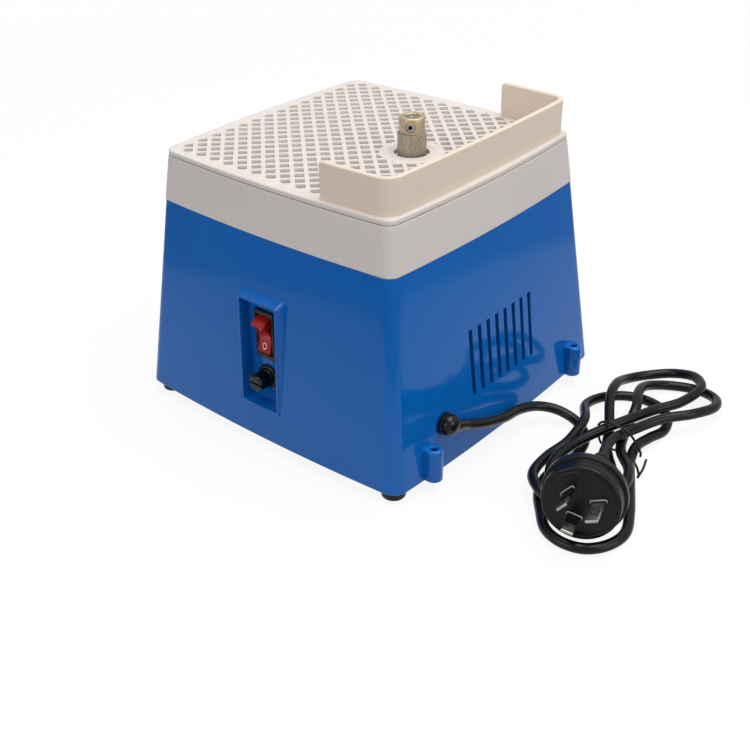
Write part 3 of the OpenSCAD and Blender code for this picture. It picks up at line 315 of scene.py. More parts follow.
def add_node(tree, kind, inputs, out=0, **settings):
    node = tree.nodes.new(kind)
    for key, value in settings.items():
        setattr(node, key, value)
    feed(tree, node, inputs)
    return node.outputs[out]


def surface(name):
    mat = bpy.data.materials.new(name)
    mat.use_nodes = True
    tree = mat.node_tree
    coord = tree.nodes.new("ShaderNodeTexCoord").outputs["Object"]
    return mat, tree, tree.nodes["Principled BSDF"], coord


def noise(tree, coord, scale, detail, stretch=None):
    if stretch:
        coord = add_node(tree, "ShaderNodeMapping", {"Vector": coord, "Scale": stretch}, "Vector")
    return add_node(tree, "ShaderNodeTexNoise", {"Vector": coord, "Scale": scale, "Detail": detail}, "Fac")


def mapped(tree, value, lo, hi, from_lo=0.3, from_hi=0.7):
    return add_node(tree, "ShaderNodeMapRange", {
        "Value": value, "From Min": from_lo, "From Max": from_hi, "To Min": lo, "To Max": hi}, "Result")


def mix_color(tree, factor, a, b):
    return add_node(tree, "ShaderNodeMix", {0: factor, 6: a, 7: b}, 2, data_type="RGBA")


def bump(tree, height, depth, under=None):
    """A bump from a height, its depth in micrometres, on top of another one's normal."""
    inputs = {"Strength": 1.0, "Distance": depth * 1e-6, "Height": height}
    if under:
        inputs["Normal"] = under
    return add_node(tree, "ShaderNodeBump", inputs, "Normal")


def material(name, color, second, rough, blotch, grain, depth, metal=0.0, vary=0.04, shine=0.5, stretch=None,
             wave=None):
    """Blotches of two colours, roughness that varies, and a bump of `grain` features a metre and depth in micrometres.

    wave is (features a metre, depth) of a second, slow bump, and shine is the specular level."""
    mat, tree, bsdf, coord = surface(name)
    normal = bump(tree, noise(tree, coord, grain, 2.0, stretch), depth)
    if wave:
        normal = bump(tree, noise(tree, coord, wave[0], 1.0), wave[1], normal)
    feed(tree, bsdf, {
        "Base Color": mix_color(tree, mapped(tree, noise(tree, coord, blotch, 4.0, stretch), 0, 1), color,
                                second or tuple(c * 0.93 for c in color)),
        "Roughness": mapped(tree, noise(tree, coord, blotch * 4, 3.0, stretch), rough - vary, rough + vary),
        "Metallic": metal, "Specular IOR Level": shine, "Normal": normal})
    return mat


BLUE = material("blue gloss plastic", (0.0015, 0.121, 0.465), (0.002, 0.13, 0.49), 0.075, 9, 900, 1.5, vary=0.02,
                shine=0.32, wave=(13, 220))
TRAY = material("tray plastic", (0.685, 0.64, 0.615), (0.665, 0.62, 0.597), 0.42, 14, 2200, 10, shine=0.4,
                wave=(14, 100))
# painted light: a lighter copy of the tray plastic, brightening the shaded basin seen through the lattice
TRAY_LIT_INSIDE = material("tray plastic painted lighter inside", (0.95, 0.91, 0.87), (0.92, 0.88, 0.84), 0.45, 18, 2000, 10, shine=0.4)
LID = material("worktop plastic", (0.745, 0.685, 0.64), (0.725, 0.665, 0.62), 0.4, 25, 2200, 10, shine=0.4)
GUARD = material("guard plastic", (0.8, 0.675, 0.565), (0.78, 0.655, 0.545), 0.5, 22, 2000, 10, shine=0.4,
                 wave=(20, 80))
RUBBER = material("black rubber", (0.005, 0.005, 0.0055), (0.009, 0.009, 0.0095), 0.42, 120, 2500, 20, shine=0.3)
BUSHING = material("glossy black bushing", (0.003, 0.003, 0.0032), (0.005, 0.005, 0.0055), 0.16, 140, 2500, 6,
                   shine=0.35)
CORD = material("cord sheath", (0.003, 0.003, 0.0034), (0.005, 0.005, 0.0055), 0.25, 60, 2600, 2.5, shine=0.3)
PLUG = material("plug face", (0.004, 0.004, 0.0045), (0.007, 0.007, 0.0075), 0.3, 160, 3500, 3, shine=0.28)
# painted highlight: pale grey that stands in for the gloss glint on the upper edge of each pin's pad
HIGHLIGHT_GREY = material("painted highlight grey", (0.3, 0.3, 0.3), (0.22, 0.22, 0.22), 0.35, 500, 4000, 10)
TIE = material("twist tie plastic", (0.003, 0.003, 0.0032), None, 0.35, 300, 3000, 10, shine=0.35)
NICKEL = material("nickel plated brass", (0.5, 0.485, 0.46), (0.42, 0.4, 0.37), 0.3, 90, 6000, 2, metal=1.0, vary=0.06)
PLATE = material("zinc plated steel", (0.55, 0.56, 0.58), (0.47, 0.48, 0.5), 0.34, 60, 2400, 10, metal=1.0, vary=0.1)
SCREW = material("bright screw steel", (0.6, 0.6, 0.6), (0.5, 0.5, 0.5), 0.26, 400, 4000, 10, metal=1.0, vary=0.08)
SHAFT = material("ground shaft steel", (0.44, 0.4, 0.35), (0.32, 0.29, 0.25), 0.42, 300, 900, 20, metal=1.0, vary=0.1,
                 stretch=(1, 1, 9))
PAINT = material("painted motor steel", (0.09, 0.1, 0.11), (0.12, 0.13, 0.14), 0.45, 90, 1600, 40)
ALLOY = material("cast alloy", (0.5, 0.5, 0.51), (0.4, 0.4, 0.41), 0.48, 180, 1300, 80, metal=1.0, vary=0.1)
FERRITE = material("ferrite", (0.05, 0.05, 0.055), (0.035, 0.035, 0.04), 0.7, 300, 2500, 50)
IRON = material("laminated iron", (0.22, 0.22, 0.24), (0.14, 0.14, 0.15), 0.5, 150, 700, 80, metal=1.0, vary=0.1,
                stretch=(0.05, 0.05, 3))
COPPER = material("enamelled winding", (0.52, 0.2, 0.07), (0.38, 0.13, 0.05), 0.35, 500, 900, 200, metal=0.8, vary=0.1,
                  stretch=(1, 1, 2.5))
BRASS_IN = material("pressed brass", (0.62, 0.45, 0.18), (0.5, 0.35, 0.13), 0.35, 180, 2200, 20, metal=1.0, vary=0.08)
CARBON = material("brush carbon", (0.025, 0.025, 0.027), (0.04, 0.04, 0.042), 0.6, 400, 3000, 40)
INNER = material("inner black plastic", (0.04, 0.04, 0.042), (0.055, 0.055, 0.056), 0.5, 120, 1800, 30)
SWITCH = material("switch frame plastic", (0.004, 0.004, 0.0045), (0.007, 0.007, 0.0075), 0.24, 120, 2500, 10,
                  shine=0.35)
RED = material("red rocker plastic", (0.44, 0.01, 0.007), (0.37, 0.008, 0.0055), 0.22, 90, 1500, 10, vary=0.05,
               shine=0.4)
MARK = material("printed white", (0.8, 0.78, 0.76), (0.72, 0.7, 0.68), 0.5, 900, 4000, 10)
GLASS = material("fuse glass", (0.95, 0.97, 0.97), (0.92, 0.95, 0.95), 0.04, 60, 300, 2, vary=0.02)
feed(GLASS.node_tree, GLASS.node_tree.nodes["Principled BSDF"], {"Transmission Weight": 1.0, "IOR": 1.5})
BOARD = material("solder mask", (0.012, 0.1, 0.035), (0.02, 0.15, 0.05), 0.35, 160, 1500, 30)
CAPACITOR = material("capacitor sleeve", (0.02, 0.05, 0.14), (0.03, 0.07, 0.18), 0.3, 60, 1200, 10)
NYLON = material("natural nylon", (0.72, 0.69, 0.6), (0.66, 0.62, 0.53), 0.5, 120, 1600, 20)
BROWN = material("brown wire", (0.1, 0.035, 0.014), None, 0.4, 200, 2500, 20)
WIRE_BLUE = material("blue wire", (0.015, 0.07, 0.32), None, 0.4, 200, 2500, 20)
WIRE_RED = material("red wire", (0.38, 0.014, 0.01), None, 0.4, 200, 2500, 20)
EARTH = material("green and yellow wire", (0.05, 0.3, 0.04), (0.7, 0.6, 0.03), 0.4, 260, 2500, 20, stretch=(1, 1, 0.2))


def brass():
    """Sawn and tumbled brass: tan, dull, with dark specks and faint upright streaks."""
    mat = material("turned brass", (0.66, 0.54, 0.385), (0.5, 0.405, 0.285), 0.44, 330, 900, 30, metal=0.7,
                   vary=0.08, stretch=(1, 1, 0.35))
    tree = mat.node_tree
    base = tree.nodes["Principled BSDF"].inputs["Base Color"]
    specks = noise(tree, tree.nodes.new("ShaderNodeTexCoord").outputs["Object"], 1100, 2.0)
    tree.links.new(mix_color(tree, mapped(tree, specks, 0, 0.8, 0.62, 0.74), base.links[0].from_socket,
                             (0.13, 0.10, 0.06)), base)
    return mat


def grit():
    """Diamond grit held in nickel: light and dark grains on an olive-grey ground."""
    mat, tree, bsdf, coord = surface("diamond grit")
    cells = add_node(tree, "ShaderNodeTexVoronoi", {"Vector": coord, "Scale": 3200}, "Distance")
    cloud = noise(tree, coord, 620, 6.0)
    ground = mix_color(tree, mapped(tree, cloud, 0, 1, 0.35, 0.65), (0.29, 0.255, 0.185), (0.45, 0.40, 0.305))
    feed(tree, bsdf, {
        "Base Color": mix_color(tree, mapped(tree, cells, 1, 0, 0.05, 0.3), ground, (0.58, 0.54, 0.44)),
        "Roughness": mapped(tree, cloud, 0.35, 0.62), "Metallic": 0.35, "Normal": bump(tree, cells, 90)})
    return mat


BRASS = brass()
GRIT = grit()
GRUB = material("steel set screw", (0.62, 0.61, 0.6), (0.5, 0.49, 0.48), 0.26, 500, 3000, 10, metal=1.0, vary=0.08)
# painted shade: near-black that stands in for the shade inside the set screw's hex socket
SOCKET_SHADE = material("painted shade in the hex socket", (0.012, 0.011, 0.01), (0.02, 0.018, 0.016), 0.5, 600, 3000, 20)

for look, names in (
        (BLUE, "housing_front housing_rear housing_left housing_right_panels housing_right_bridges housing_deck "
               "switch_recess housing_posts"),
        (TRAY, "water_tray"), (LID, "worktop"), (GUARD, "splash_guard"), (CORD, "power_cord"),
        (RUBBER, "rubber_feet tray_seal tray_washers water_slinger strain_relief"),
        (PLUG, "plug_body pin_sleeves"), (TIE, "twist_tie"), (NICKEL, "plug_pins fuse_end_caps"),
        (PLATE, "bottom_plate motor_bracket"),
        (SCREW, "foot_screws tray_screws motor_screws end_cap_bolts board_screws brush_springs spindle_bearings"),
        (SHAFT, "spindle_shaft"), (PAINT, "motor_can"), (ALLOY, "upper_end_cap lower_end_cap"),
        (FERRITE, "magnets"), (IRON, "armature_core"), (COPPER, "armature_windings"),
        (BRASS_IN, "brush_holders commutator"), (CARBON, "carbon_brushes"),
        (INNER, "brush_caps cooling_fan fuse_nut bridge_rectifier"), (BRASS, "grinding_head"),
        (GRIT, "diamond_sleeve"), (GRUB, "set_screw"), (SWITCH, "switch_body fuse_holder fuse_cap"),
        (RED, "rocker"), (GLASS, "fuse_glass"), (BOARD, "circuit_board"), (CAPACITOR, "board_capacitors"),
        (NYLON, "terminal_block"), (BROWN, "live_wires"), (WIRE_BLUE, "neutral_wires"), (EARTH, "earth_wire"),
        (WIRE_RED, "motor_leads")):
    for name in names.split():
        node = NODES[name]
        if not node.material_slots:
            node.data.materials.append(look)
        for held in node.material_slots:
            held.material = look


def piece(ob, body, mat, replaces=()):
    """Gives a new piece its material and its body, and hides the nodes it stands for."""
    ob.data.materials.clear()
    ob.data.materials.append(mat)
    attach(ob, body)
    if replaces:
        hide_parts(*replaces)
    return ob


def second_material(ob, mat, test):
    """Gives a second material to the faces whose centre, in millimetres, passes the test."""
    ob.data.materials.append(mat)
    for face in ob.data.polygons:
        if test(face.center / MM):
            face.material_index = 1


# ---------------- cord, tie and plug

ROUTE = [
    (43, 104, 28), (29, 107, 23), (12, 108, 18), (-6, 107, 14), (-20, 111, 11), (-28, 121, 8),
    (-28, 134, 5), (-19, 145, 3.5), (-3, 150, 3.5), (14, 149, 3.5), (29, 148, 3.5), (43, 153, 3.5),
    (55, 162, 3.5), (66, 172, 3.5), (70, 184, 3.5), (67, 196, 3.5), (57, 204, 3.5), (43, 206, 3.5),
    (26, 199, 3.5), (6, 188, 3.5), (-12, 178, 4.5), (-26, 174, 6), (-40, 175, 5), (-54, 177, 3.5),
    (-68, 172, 3.5), (-76, 160, 3.5), (-75, 144, 3.5), (-64, 131, 3.5), (-46, 129, 6), (-25, 140, 11),
    (-3, 143, 9), (17, 141, 8), (37, 145, 10), (48, 156, 11), (50, 170, 7), (44, 182, 3.5),
    (29, 189, 3.5), (13, 183, 3.5), (-1, 173, 3.5), (-16, 161, 4), (-32, 153, 7), (-53, 141, 11),
    (-70, 135, 11), (-87, 133, 6), (-103, 140, 4), (-112, 153, 6), (-110, 168, 10), (-97, 178, 12),
    (-76, 176, 12), (-59, 168, 12), (-40, 162, 13), (-20, 155, 13), (2, 149, 12), (22, 149, 12),
    (35, 155, 10), (41, 167, 9), (37, 181, 8), (23, 190, 11), (5, 186, 12), (-15, 170, 8),
    (-38, 161, 5.5), (-56, 157, 11), (-72, 150, 11), (-87, 148, 7), (-101, 156, 3.5), (-107, 171, 3.5),
    (-101, 186, 6), (-87, 192, 9), (-68, 187, 12), (-53, 176, 12), (-32, 168, 12), (-15, 165, 14),
    (-3, 167, 15), (11, 172, 17)]
TIE_ROUTE = [
    (-21, 179.6, 4.4), (-21, 179.4, 7), (-21.5, 176, 11.5), (-22, 170, 16.5), (-22, 165, 17.6),
    (-22, 156, 17.5), (-22, 151.4, 14), (-22, 152, 6), (-22, 155.5, 1.2), (-22, 166, 1),
    (-21, 174, 1), (-15, 181, 1.2), (-8, 186, 1.8), (-5, 187, 2.8), (-9, 187.5, 6), (-14, 186.5, 9.5)]

cord_line = spline(ROUTE, 8)
cord = piece(tube("mains_cord", cord_line, 3.0, 24), "base", CORD, ("power_cord",))
tie = piece(tube("cord_tie", spline(TIE_ROUTE, 8), 0.7, 12), "base", TIE, ("twist_tie",))

PLUG_AT = shift(61, 188, 24.5) @ turn(18, "Z") @ turn(82, "Y") @ turn(17, "Z")
PINS = [(7, -4.6, -30), (-7, -4.6, 30), (0, 9.8, 0)]         # x, y and turn: live, neutral and earth
PIN_W, PIN_T = 6.35, 1.6
PIN_ROOT, COVER_END = -6, 9


def at_pin(i):
    x, y, a = PINS[i]
    return PLUG_AT @ shift(x, y) @ turn(a, "Z")


def bar(name, place, w, t, z0, z1, r=0.3, top=0.3):
    """A bar along local Z, w along Y and t along X, its end and long edges rounded."""
    rings = []
    for z, inset in [(z0, 0.0)] + [(z1 - top + top * s, top * c) for s, c in quarter(4)]:
        pts = rounded_rect(t - 2 * inset, w - 2 * inset, max(r - inset * 0.5, 0.06), 4)
        rings.append([place @ Vector((x, y, z)) for x, y in pts])
    return loft(name, rings)


plug_profile = [(0, 0), (17.6, 0), (18.0, -0.25), (18.4, -0.25), (18.8, 0), (19.6, 0), (20.2, -0.15), (20.6, -0.5),
                (20.8, -1.1), (20.9, -4), (21.0, -8.6), (21.15, -8.9), (21.5, -9), (22.0, -9), (22.35, -9.15),
                (22.55, -9.5), (22.6, -10), (22.6, -12.8), (22.45, -13.4), (22.1, -13.8), (21.4, -14.05),
                (19.5, -14.4), (17, -15.0), (14.6, -16.2), (12.5, -17.6), (10.8, -20.4), (9.5, -24), (8.5, -27),
                (7.6, -30)]
z = -30.0
for k in range(6):                       # ribs of the plug's tail
    r0 = 7.4 - 0.42 * k
    plug_profile += [(r0, z - 0.5), (r0 - 0.9, z - 1.0), (r0 - 1.0, z - 2.4), (r0 - 0.3, z - 2.9)]
    z -= 3.3
plug_profile += [(4.9, z), (4.5, -52.4), (4.2, -53.6), (3.9, -54.0), (3.06, -54.0), (3.06, -52.8), (0, -52.8)]
plug = lathe("plug_shell", plug_profile, 96, PLUG_AT, angle=32)
boolean(plug, [bar("pad", at_pin(i), 8.75, 4.0, -2.0, 0.8, 0.9, 0.35) for i in range(3)], "UNION", 32)
boolean(plug, [bar("hole", at_pin(i), PIN_W + 0.1, PIN_T + 0.1, PIN_ROOT - 0.05, 3, 0.1, 0.05) for i in range(3)],
        angle=32)
piece(plug, "base", PLUG, ("plug_body",))


def highlight_bead(place, w, t, r=1.0):
    """A round bead along the upper long side of a pin's pad, its ends turned down. It lies on the upper side only, to
    carry a painted highlight.
    """
    up_side = 1 if (place.to_3x3() @ Vector((1, 0, 0))).z > 0 else -1
    pts = [(0.1, -w / 2)] + corner_points(((t / 2 - r, -w / 2 + r, r, -90), (t / 2 - r, w / 2 - r, r, 0)), 5)
    pts.append((0.1, w / 2))
    line = [place @ Vector((up_side * x, y, 0.7)) for x, y in pts]
    return tube("rim", line, lambda q: 0.48 * (0.4 + 0.6 * min(1.0, 5 * q, 5 * (1 - q))), 12)


# painted highlight: the beads are pale grey, and only on the upper side of each pad
highlight_beads = piece(join("pin_highlight_beads", [highlight_bead(at_pin(i), 8.5, 3.7) for i in range(3)]), "base", HIGHLIGHT_GREY)
pins = [bar("pin", at_pin(2), PIN_W, PIN_T, PIN_ROOT, 20, 0.25, 0.7)]
covers = []
for i in (0, 1):                         # the sleeved pins are thin under their sleeves
    pins.append(bar("core", at_pin(i), 5.45, 0.9, PIN_ROOT, 10, 0.2, 0.1))
    pins.append(bar("pin", at_pin(i), PIN_W, PIN_T, COVER_END + 0.05, 17, 0.25, 0.7))
    covers.append(boolean(bar("cover", at_pin(i), PIN_W, PIN_T, PIN_ROOT, COVER_END, 0.25, 0.05),
                          [bar("hole", at_pin(i), 5.5, 0.95, PIN_ROOT - 1, 11, 0.2, 0.1)]))
pins = piece(join("plug_blades", pins), "base", NICKEL, ("plug_pins",))
covers = piece(join("blade_covers", covers), "base", PLUG, ("pin_sleeves",))

BUSH_X, BUSH_H = 57, 27
BUSH = Vector((BUSH_X, wall_at(BUSH_X, BUSH_H), SHELL_Z + BUSH_H))
BUSH_AT = Matrix.Translation(BUSH) @ Matrix.Rotation(LEAN, 4, "X") @ turn(-90, "X")
knob = lathe("relief_knob", [
    (0, -5.9), (7.3, -5.9), (7.3, -3.4), (4.9, -3.4), (4.9, 0.4), (6.1, 0.4), (6.4, 0.55), (6.5, 0.9), (6.5, 2.3),
    (6.45, 2.6), (6.25, 2.8), (6.2, 3.2), (6.15, 4.4), (5.95, 5.5), (5.5, 6.5), (4.8, 7.4), (3.8, 8.1), (2.6, 8.5),
    (1.3, 8.7), (0, 8.75)], 64, BUSH_AT)
relief_line = spline([BUSH + Vector((2.0, 4.0, 0.4)), BUSH + Vector((-3, 4.7, -1.6)), BUSH + Vector((-8, 5.1, -3.6)),
                      Vector((43.1, 104.02, 28.04))], 16)


def relief_r(q):
    """Stout at the knob, and hardly wider than the cord at its end."""
    return 4.4 - 1.3 * min(1.0, q / 0.8)


relief = join("strain_relief_boot", [knob, tube("neck", relief_line, relief_r, 32)])
piece(relief, "base", BUSHING, ("strain_relief",))

# ---------------- housing

ROUND = 0.7                              # of its lower and upper edges
LUG_X, LUG_Y, LUG_R = 71.5, 103.2, 5
VENT_PITCH, VENT_HALF_W, VENT_LO, VENT_HI = 8.2, 1.6, 30.6, 71.2
SCREW_XY = SHOULDER_HALF - 23.7
SPIGOT_R = 15.0                          # of the tray's tube, which sits in the deck
ON_SCREWS = [shift(sx * SCREW_XY, sy * SCREW_XY) for sx in (-1, 1) for sy in (-1, 1)]


def housing_ring(h, inset=0.0):
    return level(outline(half_at(h) - inset, corner_at(h) - inset, BOW), SHELL_Z + h)


rings = [housing_ring(DECK_Z - SHELL_Z, WALL), housing_ring(0, WALL)]
rings += [housing_ring(ROUND * c, ROUND * (1 - s)) for s, c in quarter(4)]
rings += [housing_ring(h) for h in (1.2, 2.2, 5, 12, 20, 30, 50, 70, 90, 105, 113, 117, 118.6, 119.4)]
rings += [housing_ring(HOUSING_H - ROUND + ROUND * s, ROUND * c) for s, c in quarter(4)]
housing = loft("housing_shell", rings, angle=30)

lugs = []
for side in (-1, 1):
    lug_rings = []
    for h, inset in ((0, 0.4), (0.4, 0), (17.6, 0), (18.6, 0.12), (19.3, 0.5), (19.75, 1.1), (20, 2.0)):
        r, y0 = LUG_R - inset, wall_at(LUG_X, h) - 1.5
        pts = [(LUG_X * side + r * cos(pi * i / 24), LUG_Y + r * sin(pi * i / 24)) for i in range(25)]
        pts += [(LUG_X * side - r, y0), (LUG_X * side + r, y0)]
        lug_rings.append(level(pts, SHELL_Z + h))
    lugs.append(loft("lug", lug_rings))
boolean(housing, lugs, "UNION", 30)
cutters = [lathe("bore", [(2.0, 5), (2.0, 26.2), (2.45, 26.7), (3.0, 27.4), (3.0, 30)], 32,
                 shift(LUG_X * side, LUG_Y)) for side in (-1, 1)]
for i in range(8):
    x = (i - 3.5) * VENT_PITCH
    cutters.append(box("vent", (x - VENT_HALF_W, 60, SHELL_Z + VENT_LO), (x + VENT_HALF_W, 120, SHELL_Z + VENT_HI)))
cutters += [box("window", (40, -15.4, hood_lo[2] + 1.2), (130, 15.4, hood_hi[2] - 1.1)),
            cylinder("neck", 4.95, -8, 12, BUSH_AT),
            cylinder("spigot", SPIGOT_R + 0.3, DECK_Z - 5, SHOULDER_Z + 5, AT_SPINDLE, 96)]
cutters += [cylinder("hole", 1.7, DECK_Z - 5, SHOULDER_Z + 5, on, 24) for on in ON_SCREWS]
boolean(housing, [join("cutters", cutters)], angle=30)
piece(housing, "base", BLUE,
      ("housing_front", "housing_rear", "housing_left", "housing_right_panels", "housing_right_bridges",
       "housing_deck"))

# ---------------- hood round the switch, and its recess

ROOM_W, ROOM_LO, ROOM_HI = 26.6, 27.0, 91.6
HOOD_LEAN = 2.8                          # how far the front plane leans back at the top of the opening
HOOD_HALF, RIM_HALF, RIM_TOP = (hood_hi[1] - hood_lo[1]) / 2, 14.75, ROOM_HI + 1.35
LIP = 0.3                                # rounding of the opening's edge


def hood_front(z):
    return hood_hi[0] - HOOD_LEAN * max(0.0, z - ROOM_LO) / (ROOM_HI - ROOM_LO)


def hood_ring(half, z_lo, z_hi, r_top, r_low, x_of):
    """A ring of the hood, x from x_of(y, z), its upper corners wide and its lower ones small."""
    return [(x_of(y, z), y, z) for y, z in corner_points((
        (half - r_low, z_lo + r_low, r_low, -90), (half - r_top, z_hi - r_top, r_top, 0),
        (-half + r_top, z_hi - r_top, r_top, 90), (-half + r_low, z_lo + r_low, r_low, 180)), 6)]


def on_wall(behind):
    return lambda y, z: wall_at(y, z - SHELL_Z) - behind


def on_front(behind):
    return lambda y, z: max(hood_front(z), wall_at(y, z - SHELL_Z) + 0.03) - behind


def room_ring(x_of, grow=0.0):
    return hood_ring(ROOM_W / 2 + grow, ROOM_LO - grow, ROOM_HI + grow, 0.5 + grow, 0.5 + grow, x_of)


rings = [hood_ring(HOOD_HALF, hood_lo[2], hood_hi[2], 3.0, 0.5, x_of)
         for x_of in (lambda y, z: hood_lo[0], on_wall(0.5), on_wall(0.0))]
for behind, inset in ((0.42, 0.0), (0.22, 0.06), (0.08, 0.2), (0.0, 0.42)):
    rings.append(hood_ring(RIM_HALF - inset, hood_lo[2] + 1.0 + inset, RIM_TOP - inset, 1.3, 0.5, on_front(behind)))
hood = loft("switch_hood", rings, angle=24)
rings = [room_ring(lambda y, z: PANEL_X), room_ring(on_front(LIP))]
rings += [room_ring(on_front(LIP * (1 - s)), LIP * c) for s, c in quarter(3, 1)]
rings.append(room_ring(on_front(-3.0), LIP))
boolean(hood, [loft("room", rings),
               box("switch_hole", (60, -6.55, SWITCH_Z - 13.8), (PANEL_X + 3, 6.55, SWITCH_Z + 13.8)),
               cylinder("fuse_hole", 6.05, 60, PANEL_X + 3, ALONG_X)], angle=30)
piece(hood, "base", BLUE, ("switch_recess",))

# ---------------- tray

FLOOR_Z = SHOULDER_Z + 3
LEDGE = 0.6                              # the step under the lid that shows as a dark line
EDGE, TOE, BASIN_R = 0.5, 0.3, 2.4       # roundings of the foot, of the rim and of the basin's floor
TUBE_TOP = span("water_slinger")[1][2] - 2.4


def tray_half(z):
    return TRAY_FOOT + (TRAY_RIM - TRAY_FOOT) * (z - SHOULDER_Z) / (RIM_Z - SHOULDER_Z)


def tray_ring(z, inset=0.0):
    return level(outline(tray_half(z) - inset, max(SHOULDER_R - inset, 0.3), BOW), z)


rings = [tray_ring(SHOULDER_Z + EDGE * c, EDGE * (1 - s)) for s, c in quarter(4)]
rings += [tray_ring(z) for z in (128.5, 129.5, 134, 140, 146, 151, 153)]
rings += [tray_ring(RIM_Z - LEDGE - TOE + TOE * s, TOE * c) for s, c in quarter(3, 1)]
rings += [tray_ring(z, inset) for z, inset in (
    (RIM_Z - LEDGE, 1.6), (RIM_Z, 1.7), (RIM_Z, 2.7), (RIM_Z - 0.3, 3.0), (150, 3.0), (140, 3.0),
    (FLOOR_Z + 3, 3.0), (FLOOR_Z + BASIN_R, 3.0))]
rings += [tray_ring(FLOOR_Z + BASIN_R * (1 - s), 3.0 + BASIN_R * c) for s, c in quarter(5, 1)]
tray = loft("water_basin", rings, angle=32)
boolean(tray, [lathe("tube", [
    (0, DECK_Z), (14.6, DECK_Z), (SPIGOT_R, DECK_Z + 0.4), (SPIGOT_R, FLOOR_Z - 0.5), (13.6, FLOOR_Z - 0.4),
    (13.4, FLOOR_Z + 0.1), (12.5, FLOOR_Z + 0.5), (12.1, FLOOR_Z + 1.2), (12, FLOOR_Z + 2), (12, TUBE_TOP - 0.5),
    (11.85, TUBE_TOP - 0.15), (11.5, TUBE_TOP), (0, TUBE_TOP)], 96, AT_SPINDLE)], "UNION", 32)
cutters = [cylinder("bore", 6.5, DECK_Z - 2, TUBE_TOP + 3, AT_SPINDLE, 64),
           lathe("groove", [(18.0, SHOULDER_Z - 1), (20.4, SHOULDER_Z - 1), (20.4, SHOULDER_Z + 1.2),
                            (18.0, SHOULDER_Z + 1.2), (18.0, SHOULDER_Z - 1)], 96, AT_SPINDLE)]
cutters += [cylinder("hole", 2.2, SHOULDER_Z - 2, FLOOR_Z + 3, on, 24) for on in ON_SCREWS]
boolean(tray, [join("cutters", cutters)], angle=32)
piece(tray, "base", TRAY, ("water_tray",))
# painted light: the basin's inside faces get the lighter copy of the tray plastic
second_material(tray, TRAY_LIT_INSIDE, lambda p: p.z > SHOULDER_Z + 2 and max(abs(p.x), abs(p.y)) < tray_half(p.z) - 2.2)

# ---------------- worktop


def top_loops(ob, z):
    """Closed loops round the flat top of a CAD node, as lists of (x, y) in millimetres."""
    bm = bmesh.new()
    bm.from_mesh(ob.data)
    bmesh.ops.remove_doubles(bm, verts=bm.verts, dist=2e-6)
    flat = {f for f in bm.faces if f.normal.z > 0.99 and abs(f.calc_center_median().z / MM - z) < 0.01}
    nxt = {}
    for f in flat:
        for loop in f.loops:
            e = loop.edge
            if sum(1 for g in e.link_faces if g in flat) == 1:
                nxt.setdefault(loop.vert.index, []).append(loop.link_loop_next.vert.index)
    bm.verts.ensure_lookup_table()
    loops = []
    while nxt:
        start = next(iter(nxt))
        ring, here = [], start
        while here in nxt:
            ring.append(here)
            follow = nxt[here].pop()
            if not nxt[here]:
                del nxt[here]
            here = follow
            if here == start:
                break
        loops.append([(bm.verts[i].co.x / MM, bm.verts[i].co.y / MM) for i in ring])
    bm.free()
    return loops


def simplify(loop):
    """The loop without the points that lie on a straight side."""
    out = []
    for i, b in enumerate(loop):
        a, c = loop[i - 1], loop[(i + 1) % len(loop)]
        u, v = (b[0] - a[0], b[1] - a[1]), (c[0] - b[0], c[1] - b[1])
        if abs(u[0] * v[1] - u[1] * v[0]) > 1e-4 * max(1e-9, sqrt(u[0] ** 2 + u[1] ** 2) * sqrt(v[0] ** 2 + v[1] ** 2)):
            out.append(b)
    return out


def area(loop):
    return 0.5 * sum(loop[i - 1][0] * p[1] - p[0] * loop[i - 1][1] for i, p in enumerate(loop))


def grown(loop, d):
    """The loop with each side moved out by d; the loop runs counterclockwise."""
    out = []
    for i in range(len(loop)):
        a, b, c = Vector(loop[i - 1]), Vector(loop[i]), Vector(loop[(i + 1) % len(loop)])
        n1 = Vector(((b - a).y, -(b - a).x)).normalized()
        n2 = Vector(((c - b).y, -(c - b).x)).normalized()
        p = b + (n1 + n2) * (d / max(0.35, 1 + n1.dot(n2)))
        out.append((p.x, p.y))
    return out


# the lattice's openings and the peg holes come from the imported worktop's top face
loops = [simplify(loop) for loop in top_loops(NODES["worktop"], TOP_Z)]
loops = sorted((loop for loop in loops if len(loop) > 2), key=lambda loop: -abs(area(loop)))
holes = []
for loop in loops[1:]:
    if area(loop) < 0:
        loop = loop[::-1]
    cx, cy = sum(p[0] for p in loop) / len(loop), sum(p[1] for p in loop) / len(loop)
    size = abs(area(loop))
    if abs(cx - SPINDLE[0]) < 1 and abs(cy - SPINDLE[1]) < 1 and size > 200:
        continue                         # the spindle's hole is made below
    if len(loop) > 12 and size < 8:
        holes.append(("peg", loop))
    elif size > 0.8:
        holes.append(("hole", loop))
LID_HALF = TRAY_RIM - 0.2
LID_R = 1.15                             # rounding of its top edge


def lid_ring(z, inset):
    return level(outline(LID_HALF - inset, SHOULDER_R - inset, BOW), z)


def circle(r, n=96):
    return [(SPINDLE[0] + r * cos(2 * pi * i / n), SPINDLE[1] + r * sin(2 * pi * i / n)) for i in range(n)]


verts, faces = [], []


def ring_ids(points):
    start = len(verts)
    verts.extend(points)
    return list(range(start, start + len(points)))


def bridge(a, b):
    n = len(a)
    faces.extend((a[i], a[(i + 1) % n], b[(i + 1) % n], b[i]) for i in range(n))


def bridge_all(rows):
    for a, b in zip(rows, rows[1:]):
        bridge(a, b)


def inside(x, y, polygon, reach):
    """Whether a point lies in a polygon, whose reach is its (lowest x, highest x, lowest y, highest y)."""
    hit = False
    if reach[0] < x < reach[1] and reach[2] < y < reach[3]:
        for i, (x2, y2) in enumerate(polygon):
            x1, y1 = polygon[i - 1]
            if (y1 > y) != (y2 > y) and x < (x2 - x1) * (y - y1) / (y2 - y1) + x1:
                hit = not hit
    return hit


